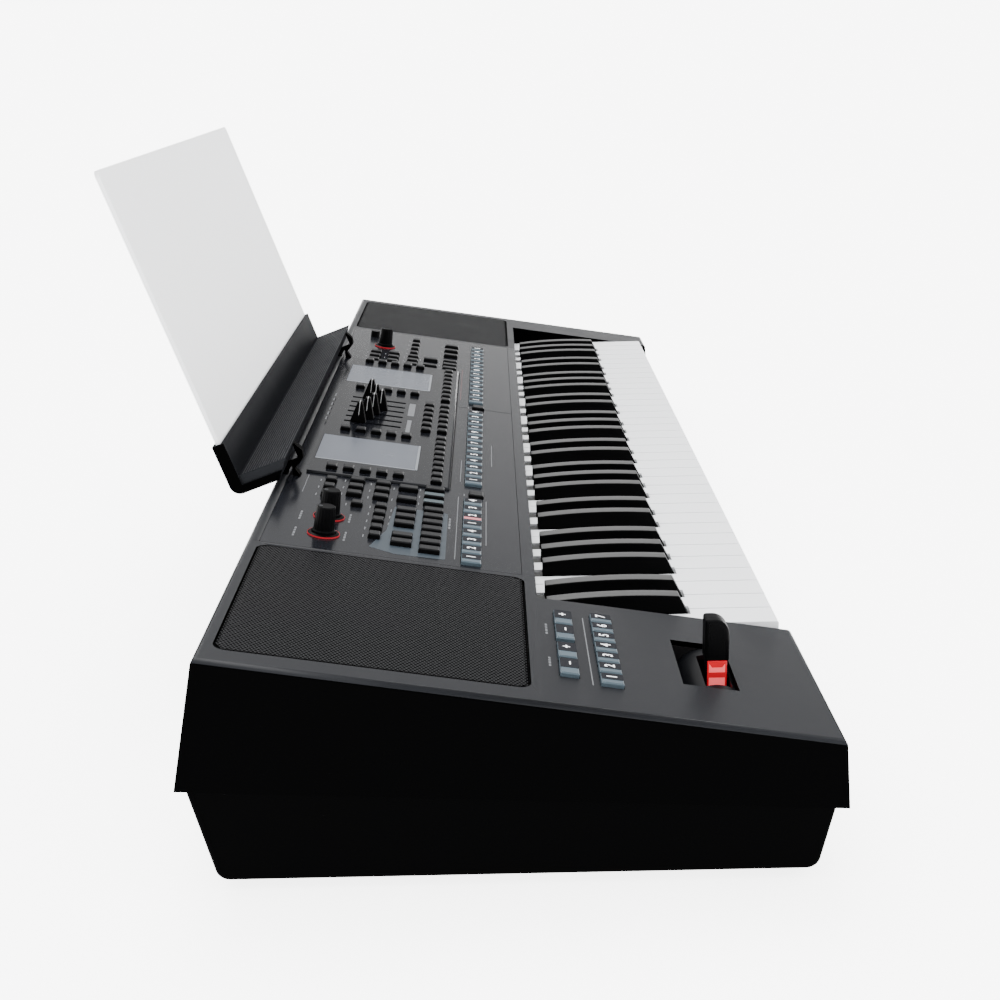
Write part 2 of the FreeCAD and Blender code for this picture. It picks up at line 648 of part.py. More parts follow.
def grille_outline(side, grow, z0, z1):
    """A plate with rounded corners, as the grille openings have."""
    x, width = grille_span(side)
    plate = centred(x, GRILLE_V + GRILLE_DEPTH / 2, width + 2 * grow, GRILLE_DEPTH + 2 * grow, z0, z1)
    return rounded(plate, GRILLE_CORNER + grow, lambda e: runs_along(e, Z_AXIS))


def make_upper_case():
    """Top shell: left block, right cheek, front rail, fallboard lip and the seats of the top."""
    outline = [
        (-FRONT_LEAN, JOINT_FRONT_Z), (0, TOP_FRONT_Z),
        (TOP_DEPTH, TOP_REAR_Z), (TOP_DEPTH + REAR_LEAN, JOINT_REAR_Z),
    ]
    outer = prism_x(outline, -HALF_WIDTH, HALF_WIDTH)
    limit = TOP_FRONT_Z - CASE_WALL
    outer = rounded(outer, TOP_EDGE_R, lambda e: e.BoundBox.ZMin > limit)
    hollow = [
        (CASE_WALL - FRONT_LEAN, JOINT_FRONT_Z - OVERRUN), (CASE_WALL, top_z(CASE_WALL, CASE_WALL)),
        (TOP_DEPTH - CASE_WALL, top_z(TOP_DEPTH - CASE_WALL, CASE_WALL)),
        (TOP_DEPTH + REAR_LEAN - CASE_WALL, JOINT_REAR_Z), (TOP_DEPTH + REAR_LEAN, JOINT_REAR_Z - OVERRUN),
    ]
    shell = outer.cut(prism_x(hollow, CASE_WALL - HALF_WIDTH, HALF_WIDTH - CASE_WALL))
    ceiling = TOP_REAR_Z + OVERRUN
    mouth = block(KEYS_LEFT, KEYS_RIGHT, -OVERRUN, FALLBOARD_Y, KEYSLIP_Z, ceiling)
    shell = shell.cut(mouth)
    fall_low = KEY_TOP_Z + FALLBOARD_GAP
    walls = [
        block(KEYS_LEFT - CASE_WALL, KEYS_LEFT, -OVERRUN, FALLBOARD_Y + CASE_WALL, 0, ceiling),
        block(KEYS_RIGHT, KEYS_RIGHT + CASE_WALL, -OVERRUN, FALLBOARD_Y + CASE_WALL, 0, ceiling),
        block(KEYS_LEFT, KEYS_RIGHT, FALLBOARD_Y, FALLBOARD_Y + CASE_WALL, fall_low, ceiling),
    ]
    pieces = [shell] + [outer.common(wall) for wall in walls]
    seat_low = -CASE_WALL - SEAT_THICK
    mid_v = PANEL_V + PANEL_DEPTH / 2
    tray = 2 * SEAT_RIM
    seat = centred(PANEL_X, mid_v, PANEL_WIDTH + SEAT_RIM, PANEL_DEPTH + SEAT_RIM, seat_low, -CASE_WALL)
    seat = seat.cut(centred(PANEL_X, mid_v, PANEL_WIDTH - tray, PANEL_DEPTH - tray, -OVERRUN, OVERRUN))
    pieces.append(tilted(seat))
    for side in (-1, 1):
        baffle = grille_outline(side, SEAT_RIM / 2, seat_low, -CASE_WALL)
        mid = V(grille_span(side)[0], GRILLE_V + GRILLE_DEPTH / 2, -OVERRUN)
        pieces.append(tilted(baffle.cut(rod(SPEAKER_R, 2 * OVERRUN, mid, Z_AXIS))))
    pieces.append(case_ledge(outer))
    pieces += [screw_boss(outer, x, y) for x, y in screw_places()]
    pieces += [tilted(pillar) for pillar in board_pillars()]
    rail = block(KEYS_LEFT, KEYS_RIGHT, -OVERRUN, KEYSLIP_DEPTH, KEYSLIP_Z - CASE_WALL, KEYSLIP_Z)
    pieces.append(outer.common(rail))
    case = fused(pieces)
    tools = [tilted(centred(PANEL_X, mid_v, PANEL_WIDTH, PANEL_DEPTH, -CASE_WALL, OVERRUN))]
    tools += [tilted(grille_outline(side, 0, -CASE_WALL, OVERRUN)) for side in (-1, 1)]
    tools += [tilted(button_hole(place)) for place in left_buttons()]
    slot_mid = BENDER_SLOT_V + BENDER_SLOT_DEPTH / 2
    slot = centred(BENDER_X, slot_mid, BENDER_SLOT_WIDTH, BENDER_SLOT_DEPTH, -OVERRUN, OVERRUN)
    tools.append(tilted(slot))
    for x, y in screw_places():
        depth = SCREW_BITE + SCREW_FLOAT
        tools.append(rod(SCREW_R + SCREW_FLOAT, depth + OVERRUN, V(x, y, joint_z(y) - OVERRUN), Z_AXIS))
    rim = SOCKET_RIM_R + SOCKET_RIM_CLEAR
    for x in socket_places():
        tools.append(rod(rim, 2 * OVERRUN, V(x, TOP_DEPTH - OVERRUN / 2, socket_z()), Y_AXIS))
    add("upper_case", *mouldings(cut_all(case, tools)))


def mouldings(case):
    """The upper case as it is moulded: top, left block, right cheek and key slip, face to face."""
    ceiling = TOP_REAR_Z + OVERRUN
    front = -FRONT_LEAN - OVERRUN
    boxes = [
        block(-HALF_WIDTH - OVERRUN, KEYS_LEFT, front, FALLBOARD_Y, 0, ceiling),
        block(KEYS_RIGHT, HALF_WIDTH + OVERRUN, front, FALLBOARD_Y, 0, ceiling),
        block(KEYS_LEFT, KEYS_RIGHT, front, FALLBOARD_Y / 2, 0, ceiling),
    ]
    return [cut_all(case, boxes)] + [case.common(box) for box in boxes]


def case_ledge(outer):
    """Inward ledge at the foot of the upper case, which stands on the rim of the lower case."""
    rear = TOP_DEPTH + REAR_LEAN
    band = [(-FRONT_LEAN, JOINT_FRONT_Z), (rear, JOINT_REAR_Z), (rear, JOINT_REAR_Z + CASE_WALL),
            (-FRONT_LEAN, JOINT_FRONT_Z + CASE_WALL)]
    ledge = outer.common(prism_x(band, -HALF_WIDTH, HALF_WIDTH))
    side = HALF_WIDTH - LEDGE_WIDTH
    return ledge.cut(block(-side, side, LEDGE_WIDTH - FRONT_LEAN, rear - LEDGE_WIDTH, 0, TOP_REAR_Z))


def screw_boss(outer, x, y):
    """Screw boss of the upper case, webbed to the front or rear wall."""
    radius = SCREW_R + BOSS_WALL
    height = joint_z(y) + SCREW_BITE + BOSS_ROOF
    boss = rod(radius, height, V(x, y, 0), Z_AXIS)
    wall = -OVERRUN if y < TOP_DEPTH / 2 else TOP_DEPTH + OVERRUN
    web = block(x - radius, x + radius, min(y, wall), max(y, wall), 0, height)
    return fused([boss, web]).common(outer)


def left_board_span():
    """Edges of the small board under the left block: x, x, v, v."""
    places = left_buttons()
    x0 = min(place[1] - place[3] / 2 for place in places)
    x1 = max(place[1] + place[3] / 2 for place in places)
    return x0, x1, LEFT_NUMBER_V - LEFT_DEEP, PAIR_V + PAIR_DEEP


def board_pillars():
    """Pillars under the left block that its board hangs from, in the panel frame."""
    x0, x1, v0, v1 = left_board_span()
    pillars = []
    for x in (x0, x1 - PILLAR_SIZE):
        for v in (v0, v1 - PILLAR_SIZE):
            pillars.append(block(x, x + PILLAR_SIZE, v, v + PILLAR_SIZE, -PANEL_UNDER, -CASE_WALL))
    return pillars


def screw_places():
    """Places of the case screws, seen from above."""
    front = [(share * LEFT_BLOCK_WIDTH - HALF_WIDTH, FRONT_SCREW_Y) for share in LEFT_SCREW_SHARES]
    front.append((HALF_WIDTH - RIGHT_SCREW_SHARE * RIGHT_CHEEK_WIDTH, FRONT_SCREW_Y))
    rear = [(share * HALF_WIDTH, REAR_SCREW_Y) for share in REAR_SCREW_SHARES]
    return front + rear


def lower_prism(inset):
    """The lower case as a solid, or its hollow, drawn in by an inset and open at the top."""
    front = LOWER_FRONT_STEP - FRONT_LEAN
    rear = TOP_DEPTH + REAR_LEAN - LOWER_REAR_STEP
    side = [
        (front + LOWER_FRONT_DRAFT + inset, inset), (rear - LOWER_REAR_DRAFT - inset, inset),
        (rear - inset, joint_z(rear)), (front + inset, joint_z(front)),
    ]
    if inset:
        side[3:3] = [(rear - inset, TOP_REAR_Z), (front + inset, TOP_REAR_Z)]
    long_way = prism_x(side, -HALF_WIDTH, HALF_WIDTH)
    low = HALF_WIDTH - LOWER_END_STEP - LOWER_END_DRAFT - inset
    top = low + LOWER_END_DRAFT * TOP_REAR_Z / JOINT_REAR_Z
    ends = [(-low, 0), (low, 0), (top, TOP_REAR_Z), (-top, TOP_REAR_Z)]
    return long_way.common(prism_y(ends, -OVERRUN, TOP_DEPTH + REAR_LEAN + OVERRUN))


def chassis_left():
    """Left end of the key chassis."""
    return KEYS_LEFT + KEY_SIDE_GAP


def chassis_right():
    """Right end of the key chassis."""
    return KEYS_RIGHT - KEY_SIDE_GAP


def board_posts():
    """Posts under the corners of the main board and the audio board: x, y and height."""
    posts = []
    inset = 2 * POST_R
    main_span = MAIN_BOARD_DEPTH - 2 * inset
    for x, width, y0, span, z in (
        (MAIN_BOARD_X, MAIN_BOARD_WIDTH, MAIN_BOARD_Y, main_span, CASE_WALL + BOARD_STANDOFF),
        (AUDIO_BOARD_X, AUDIO_BOARD_WIDTH, audio_front(), AUDIO_POST_SPAN, AUDIO_BOARD_Z),
    ):
        for px in (x - width / 2 + inset, x + width / 2 - inset):
            for py in (y0 + inset, y0 + inset + span):
                posts.append((px, py, z))
    return posts


def make_lower_case():
    """Bottom tray with screw bosses, ribs under the key chassis and board posts."""
    outer = lower_prism(0)
    low_limit = LOWER_EDGE_R / 2
    outer = rounded(outer, LOWER_EDGE_R, lambda e: e.BoundBox.ZMax < low_limit and runs_along(e, X_AXIS))
    outer = rounded(outer, LOWER_END_R, lambda e: e.BoundBox.ZMax < low_limit and runs_along(e, Y_AXIS))
    tub = lower_prism(CASE_WALL)
    tray = outer.cut(tub)
    pieces = [tray]
    for x, y in screw_places():
        boss = rod(SCREW_HEAD_R + SCREW_FLOAT + BOSS_WALL, TOP_REAR_Z, V(x, y, 0), Z_AXIS)
        pieces.append(boss.common(outer))
    width = chassis_right() - chassis_left()
    for share in RIB_SHARES:
        x = chassis_left() + share * width
        rib = block(x - RIB_THICK / 2, x + RIB_THICK / 2, CHASSIS_FRONT_Y, CHASSIS_REAR_Y, 0, CHASSIS_Z)
        pieces.append(rib.common(prism_x(rib_limit(), -HALF_WIDTH, HALF_WIDTH)))
    for x, y, z in board_posts():
        pieces.append(rod(POST_R, z - CASE_WALL / 2, V(x, y, CASE_WALL / 2), Z_AXIS))
    tray = fused(pieces)
    tools = []
    for x, y in screw_places():
        tools.append(rod(SCREW_R + SCREW_FLOAT, TOP_REAR_Z, V(x, y, -OVERRUN), Z_AXIS))
        head = joint_z(y) - SCREW_GRIP + OVERRUN
        tools.append(rod(SCREW_HEAD_R + SCREW_FLOAT, head, V(x, y, -OVERRUN), Z_AXIS))
    add("lower_case", cut_all(tray, tools))


def rib_limit():
    """Outline that keeps the chassis ribs inside the tub."""
    front = LOWER_FRONT_STEP - FRONT_LEAN + LOWER_FRONT_DRAFT
    low = CASE_WALL / 2
    return [(front, low), (CHASSIS_REAR_Y, low), (CHASSIS_REAR_Y, CHASSIS_Z), (front, CHASSIS_Z)]


def make_screws_and_feet():
    """Case screws driven up from below, and the rubber feet."""
    for x, y in screw_places():
        seat = joint_z(y) - SCREW_GRIP
        shank = rod(SCREW_R, SCREW_GRIP + SCREW_BITE, V(x, y, seat), Z_AXIS)
        head = rod(SCREW_HEAD_R, SCREW_HEAD_H, V(x, y, seat - SCREW_HEAD_H), Z_AXIS)
        add("case_screws", fused([shank, head]))
    front = LOWER_FRONT_STEP - FRONT_LEAN + LOWER_FRONT_DRAFT + FOOT_INSET_Y
    rear = TOP_DEPTH + REAR_LEAN - LOWER_REAR_STEP - LOWER_REAR_DRAFT - FOOT_INSET_Y
    for x in (FOOT_INSET_X - HALF_WIDTH, HALF_WIDTH - FOOT_INSET_X):
        for y in (front, rear):
            foot = rod(FOOT_R, FOOT_H, V(x, y, -FOOT_H), Z_AXIS)
            add("rubber_feet", rounded(foot, KEY_EDGE_R, lambda e: e.BoundBox.ZMax < KEY_EDGE_R - FOOT_H))


def make_control_panel():
    """Insert of the sloping top, with the raised display panel in its middle."""
    mid_v = PANEL_V + PANEL_DEPTH / 2
    clear = 2 * PANEL_CLEAR
    plate = centred(PANEL_X, mid_v, PANEL_WIDTH - clear, PANEL_DEPTH - clear, -PANEL_THICK, 0)
    display_mid = DISPLAY_V + DISPLAY_DEPTH / 2
    rim = 2 * DISPLAY_RIM
    window = centred(PANEL_X, display_mid, DISPLAY_WIDTH - rim, DISPLAY_DEPTH - rim, -OVERRUN, OVERRUN)
    tools = [window, power_hole()]
    tools += [button_hole(place) for place in panel_buttons() if place[-1] == 0]
    tools += [centred(x, v, KNOB_HOLE, KNOB_HOLE, -OVERRUN, OVERRUN) for x, v in knob_places()]
    add("control_panel", tilted(cut_all(plate, tools)))
    raised = centred(PANEL_X, display_mid, DISPLAY_WIDTH, DISPLAY_DEPTH, 0, DISPLAY_RISE)
    inset = rim + clear
    plug = centred(PANEL_X, display_mid, DISPLAY_WIDTH - inset, DISPLAY_DEPTH - inset, -PANEL_THICK, 0)
    display = fused([raised, plug])
    tools = [button_hole(place) for place in panel_buttons() if place[-1] > 0]
    lcd_mid = LCD_V + LCD_DEPTH / 2
    for side in (-1, 1):
        x = PANEL_X + side * LCD_OFFSET
        seat = DISPLAY_RISE - LCD_GLASS
        lip = 2 * LCD_RIM
        tools.append(centred(x, lcd_mid, LCD_WIDTH, LCD_DEPTH, seat, OVERRUN))
        tools.append(centred(x, lcd_mid, LCD_WIDTH - lip, LCD_DEPTH - lip, -OVERRUN, OVERRUN))
        glass = centred(x, lcd_mid, LCD_WIDTH - clear, LCD_DEPTH - clear, seat, DISPLAY_RISE)
        add("display_windows", tilted(glass))
        grow = 2 * LCD_MODULE_RIM
        wide = LCD_WIDTH - lip + grow
        long = LCD_DEPTH - lip + grow
        module = centred(x, lcd_mid, wide, long, -PANEL_UNDER, -PANEL_THICK)
        well = centred(x, lcd_mid, LCD_WIDTH - lip, LCD_DEPTH - lip, -PANEL_THICK - LCD_GLASS, OVERRUN)
        add("display_modules", tilted(module.cut(well)))
    for i in range(SLIDER_COUNT):
        v0 = SLIDER_SLOT_V
        half = SLIDER_SLOT_WIDTH / 2
        x = slider_x(i)
        tools.append(block(x - half, x + half, v0, v0 + SLIDER_SLOT_LENGTH, -OVERRUN, OVERRUN))
    add("display_panel", tilted(cut_all(display, tools)))
    board = centred(PANEL_X, mid_v, PANEL_WIDTH - 4 * SEAT_RIM, PANEL_DEPTH - 4 * SEAT_RIM,
                    -PANEL_UNDER - BOARD_THICK, -PANEL_UNDER)
    add("panel_board", tilted(board))
    x0, x1, v0, v1 = left_board_span()
    add("panel_board", tilted(block(x0, x1, v0, v1, -PANEL_UNDER - BOARD_THICK, -PANEL_UNDER)))


def make_sliders():
    """Slide pots on the panel board, and the wedge caps on their stems."""
    for i in range(SLIDER_COUNT):
        x = slider_x(i)
        low = -PANEL_UNDER
        top = low + SLIDER_POT_H
        v0 = SLIDER_SLOT_V - SLIDER_POT_MARGIN
        v1 = SLIDER_SLOT_V + SLIDER_SLOT_LENGTH + SLIDER_POT_MARGIN
        half = SLIDER_POT_WIDTH / 2
        pot = block(x - half, x + half, v0, v1, low, top)
        groove = SLIDER_SLOT_WIDTH / 2
        end = SLIDER_SLOT_V + SLIDER_SLOT_LENGTH
        pot = pot.cut(block(x - groove, x + groove, SLIDER_SLOT_V, end, low + SLIDER_POT_WALL, OVERRUN))
        add("slider_pots", tilted(pot))
        v = slider_v(i)
        foot = low + SLIDER_POT_WALL + STOP_GAP
        cap_low = DISPLAY_RISE + SLIDER_CAP_FLOAT
        stem = centred(x, v, SLIDER_STEM, SLIDER_STEM_LENGTH, foot, cap_low + SLIDER_CAP_H / 2)
        long = SLIDER_CAP_LENGTH / 2
        short = SLIDER_CAP_TOP / 2
        wedge = [(v - long, cap_low), (v + long, cap_low), (v + short, cap_low + SLIDER_CAP_H),
                 (v - short, cap_low + SLIDER_CAP_H)]
        cap = prism_x(wedge, x - SLIDER_CAP_WIDTH / 2, x + SLIDER_CAP_WIDTH / 2)
        add("slider_%d" % (i + 1), tilted(fused([cap, stem])))


def make_knobs():
    """Rotary knobs on their shafts, with the pots below and a lit ring round each."""
    for i, (x, v) in enumerate(knob_places()):
        pot = centred(x, v, POT_SIZE, POT_SIZE, -PANEL_UNDER, -PANEL_UNDER + POT_H)
        bore = KNOB_SHAFT_R + KNOB_SHAFT_CLEAR
        floor = STOP_GAP - PANEL_UNDER
        pot = pot.cut(rod(bore, OVERRUN, V(x, v, floor), Z_AXIS))
        add("knob_pots", tilted(pot))
        ring = rod(RING_R, RING_H, V(x, v, 0), Z_AXIS)
        ring = ring.cut(rod(RING_R - RING_WALL, RING_H, V(x, v, 0), Z_AXIS))
        add("knob_rings", tilted(ring))
        low = KNOB_FLOAT
        cone = Part.makeCone(KNOB_R, KNOB_TOP_R, KNOB_H, V(x, v, low), Z_AXIS)
        cone = rounded(cone, KNOB_EDGE_R, lambda e: e.BoundBox.ZMin > KNOB_H)
        shaft = rod(KNOB_SHAFT_R, low + KNOB_H / 2 - floor - STOP_GAP, V(x, v, floor + STOP_GAP), Z_AXIS)
        add("knob_%d" % (i + 1), tilted(fused([cone, shaft])))


def tail_layout():
    """Left and right edges of white tails and the middles of black keys within one octave."""
    slot = BLACK_WIDTH + 2 * KEY_GAP
    whites = []
    blacks = []
    for first, count in ((0, 3), (3, 4)):
        start = first * WHITE_PITCH
        tail = (count * WHITE_PITCH - (count - 1) * slot) / count
        for i in range(count):
            left = start + i * (tail + slot)
            whites.append((left, left + tail))
            if i < count - 1:
                blacks.append(left + tail + slot / 2)
    return whites, blacks


def knuckle(x):
    """Bored hinge knuckle of a key, with the tongue that joins it to the key's tail."""
    half = KNUCKLE_WIDTH / 2
    barrel = rod(KNUCKLE_R, KNUCKLE_WIDTH, V(x - half, PIVOT_Y, PIVOT_Z), X_AXIS)
    reach = KNUCKLE_R * math.cos(math.radians(45))
    tongue = block(x - half, x + half, KEY_TAIL_Y - KEY_WALL, PIVOT_Y, PIVOT_Z - reach, PIVOT_Z + reach)
    joined = fused([barrel, tongue])
    start = V(x - half - OVERRUN / 2, PIVOT_Y, PIVOT_Z)
    bore = rod(PIVOT_R + PIVOT_CLEAR, KNUCKLE_WIDTH + OVERRUN, start, X_AXIS)
    return joined, bore


def white_key(x0, left, right):
    """One hollow white key: full-width front, narrowed tail, front skirt and knuckle."""
    a = x0 + KEY_GAP / 2
    b = x0 + WHITE_PITCH - KEY_GAP / 2
    notch = BLACK_FRONT_Y - KEY_GAP
    top = KEY_TOP_Z
    low = top - KEY_SKIRT
    head = block(a, b, KEY_FRONT_Y, notch, low, top)
    apron = block(a, b, KEY_FRONT_Y, KEY_FRONT_Y + KEY_WALL, top - WHITE_FRONT_SKIRT, top)
    tail = block(left, right, notch, KEY_TAIL_Y, low, top)
    hinge, bore = knuckle((left + right) / 2)
    outer = fused([head, apron, tail])
    across = [e for e in outer.Edges if runs_along(e, X_AXIS)]
    at_top = [e for e in across if e.BoundBox.ZMin > top - KEY_EDGE_R]
    front_top = [e for e in at_top if e.BoundBox.YMax < KEY_FRONT_Y + KEY_EDGE_R]
    outer = outer.makeFillet(KEY_EDGE_R, front_top)
    under = top - KEY_TOP_WALL
    floor = low - WHITE_FRONT_SKIRT
    inner = [
        block(a + KEY_WALL, b - KEY_WALL, KEY_FRONT_Y + KEY_WALL, notch - KEY_WALL, floor, under),
        block(left + KEY_WALL, right - KEY_WALL, notch - 2 * KEY_WALL, KEY_TAIL_Y - KEY_WALL, floor, under),
    ]
    return fused([cut_all(outer, inner), hinge]).cut(bore)


def black_key(x):
    """One black key: arched top, steep front, tapered sides, low tail and knuckle."""
    low = KEY_TOP_Z - KEY_SKIRT
    base = KEY_TOP_Z
    front_top = V(0, BLACK_FRONT_Y + BLACK_SLOPE, base + BLACK_FRONT_RISE)
    mid_top = V(0, (BLACK_FRONT_Y + BLACK_SLOPE + BLACK_REAR_Y) / 2, base + BLACK_MID_RISE)
    rear_top = V(0, BLACK_REAR_Y, base + BLACK_REAR_RISE)
    tail_top = base - BLACK_TAIL_DROP
    points = [rear_top, V(0, BLACK_REAR_Y, tail_top), V(0, KEY_TAIL_Y, tail_top), V(0, KEY_TAIL_Y, low),
              V(0, BLACK_FRONT_Y, low), V(0, BLACK_FRONT_Y, tail_top), front_top]
    edges = [Part.LineSegment(a, b).toShape() for a, b in zip(points, points[1:])]
    edges.append(Part.Arc(front_top, mid_top, rear_top).toShape())
    side = Part.Face(Part.Wire(edges))
    half = BLACK_WIDTH / 2
    solid = side.extrude(V(BLACK_WIDTH, 0, 0)).translated(V(x - half, 0, 0))
    narrow = BLACK_TOP_WIDTH / 2
    peak = base + BLACK_MID_RISE + BLACK_TAIL_DROP
    taper = [(x - half, low), (x + half, low), (x + half, tail_top), (x + narrow, peak),
             (x - narrow, peak), (x - half, tail_top)]
    solid = solid.common(prism_y(taper, 0, PIVOT_Y))
    hinge, bore = knuckle(x)
    return fused([solid, hinge]).cut(bore)


def make_keys():
    """Five octaves of white and black keys, and the top white key."""
    whites, blacks = tail_layout()
    for octave in range(OCTAVE_COUNT):
        start = FIRST_KEY_X + octave * len(whites) * WHITE_PITCH
        last = octave == OCTAVE_COUNT - 1
        for i, (left, right) in enumerate(whites):
            x0 = start + i * WHITE_PITCH
            inset_left = KEY_GAP / 2 if i in (0, 3) else 0
            inset_right = KEY_GAP / 2 if i in (2, len(whites) - 1) else 0
            key = white_key(x0, start + left + inset_left, start + right - inset_right)
            add("white_keys_%d" % (octave + 1), key)
        if last:
            x0 = start + len(whites) * WHITE_PITCH
            top_key = white_key(x0, x0 + KEY_GAP / 2, x0 + WHITE_PITCH - KEY_GAP / 2)
            add("white_keys_%d" % (octave + 1), top_key)
        for x in blacks:
            add("black_keys_%d" % (octave + 1), black_key(start + x))


def drop_at(y, z):
    """How far a point of a key sinks at full travel."""
    angle = math.radians(KEY_ANGLE)
    dy = y - PIVOT_Y
    dz = z - PIVOT_Z
    return z - (PIVOT_Z + dz * math.cos(angle) + dy * math.sin(angle))


def make_key_bed():
    """Chassis with felts, pivot rod, springs, contact board and domes."""
    x0 = chassis_left()
    x1 = chassis_right()
    floor = CHASSIS_Z + CHASSIS_THICK
    plate = block(x0, x1, CHASSIS_FRONT_Y, CHASSIS_REAR_Y, CHASSIS_Z, floor)
    apron = KEY_TOP_Z - WHITE_FRONT_SKIRT
    skirt = KEY_TOP_Z - KEY_SKIRT
    white_stop = apron - drop_at(KEY_FRONT_Y, apron) - STOP_GAP
    black_stop = skirt - drop_at(BLACK_FRONT_Y, skirt) - STOP_GAP
    pieces = [plate]
    for y, stop in ((CHASSIS_FRONT_Y, white_stop), (BLACK_FRONT_Y, black_stop)):
        add("stop_felts", block(x0, x1, y, y + FELT_DEPTH, stop - FELT_THICK, stop))
        pieces.append(block(x0, x1, y, y + FELT_DEPTH, CHASSIS_Z, stop - FELT_THICK))
    contact_low = floor + CONTACT_BASE
    for side in (-1, 1):
        y = CONTACT_Y + side * (CONTACT_DEPTH / 2 - CONTACT_BASE / 2)
        pieces.append(block(x0, x1, y - CONTACT_BASE / 2, y + CONTACT_BASE / 2, CHASSIS_Z, contact_low))
    back = CHASSIS_REAR_Y - EAR_MARGIN
    pieces.append(block(x0, x1, back, CHASSIS_REAR_Y, CHASSIS_Z, PIVOT_Z))
    bores = []
    for x in ear_places():
        a = x - EAR_THICK / 2
        top = PIVOT_Z + PIVOT_R + EAR_MARGIN
        ear_front = PIVOT_Y - PIVOT_R - EAR_MARGIN
        pieces.append(block(a, a + EAR_THICK, ear_front, CHASSIS_REAR_Y, CHASSIS_Z, top))
        bores.append(rod(PIVOT_R, EAR_THICK, V(a, PIVOT_Y, PIVOT_Z), X_AXIS))
    add("key_chassis", cut_all(fused(pieces), bores))
    add("key_pivot_rod", rod(PIVOT_R, x1 - x0, V(x0, PIVOT_Y, PIVOT_Z), X_AXIS))
    y0 = CONTACT_Y - CONTACT_DEPTH / 2
    add("contact_board", block(x0, x1, y0, y0 + CONTACT_DEPTH, contact_low, contact_low + BOARD_THICK))
    board_top = contact_low + BOARD_THICK
    dome_top = skirt - drop_at(CONTACT_Y - DOME_R, skirt) - STOP_GAP
    for x in key_middles():
        dome = Part.makeCone(DOME_R, DOME_TOP_R, dome_top - board_top, V(x, CONTACT_Y, board_top), Z_AXIS)
        add("contact_domes", dome)
        half = SPRING_WIDTH / 2
        tip = skirt - drop_at(SPRING_Y - SPRING_LENGTH / 2, skirt) - SPRING_LOAD_GAP
        rear = SPRING_Y + SPRING_LENGTH / 2
        leaf = [(rear, floor), (rear, floor + SPRING_THICK), (rear - SPRING_LENGTH, tip),
                (rear - SPRING_LENGTH, tip - SPRING_THICK), (rear - SPRING_THICK, floor)]
        add("key_springs", prism_x(leaf, x - half, x + half))


def key_middles():
    """Middle of every key's tail, left to right within each octave."""
    whites, blacks = tail_layout()
    middles = []
    for octave in range(OCTAVE_COUNT):
        start = FIRST_KEY_X + octave * len(whites) * WHITE_PITCH
        middles += [start + (left + right) / 2 for left, right in whites]
        middles += [start + x for x in blacks]
    return middles + [KEYS_END_X - WHITE_PITCH / 2]


def ear_places():
    """The chassis ears stand between knuckles: at both ends and between octaves."""
    whites, blacks = tail_layout()
    step = len(whites) * WHITE_PITCH
    inner = [FIRST_KEY_X + octave * step for octave in range(1, OCTAVE_COUNT + 1)]
    return [chassis_left() + EAR_THICK / 2] + inner + [chassis_right() - EAR_THICK / 2]


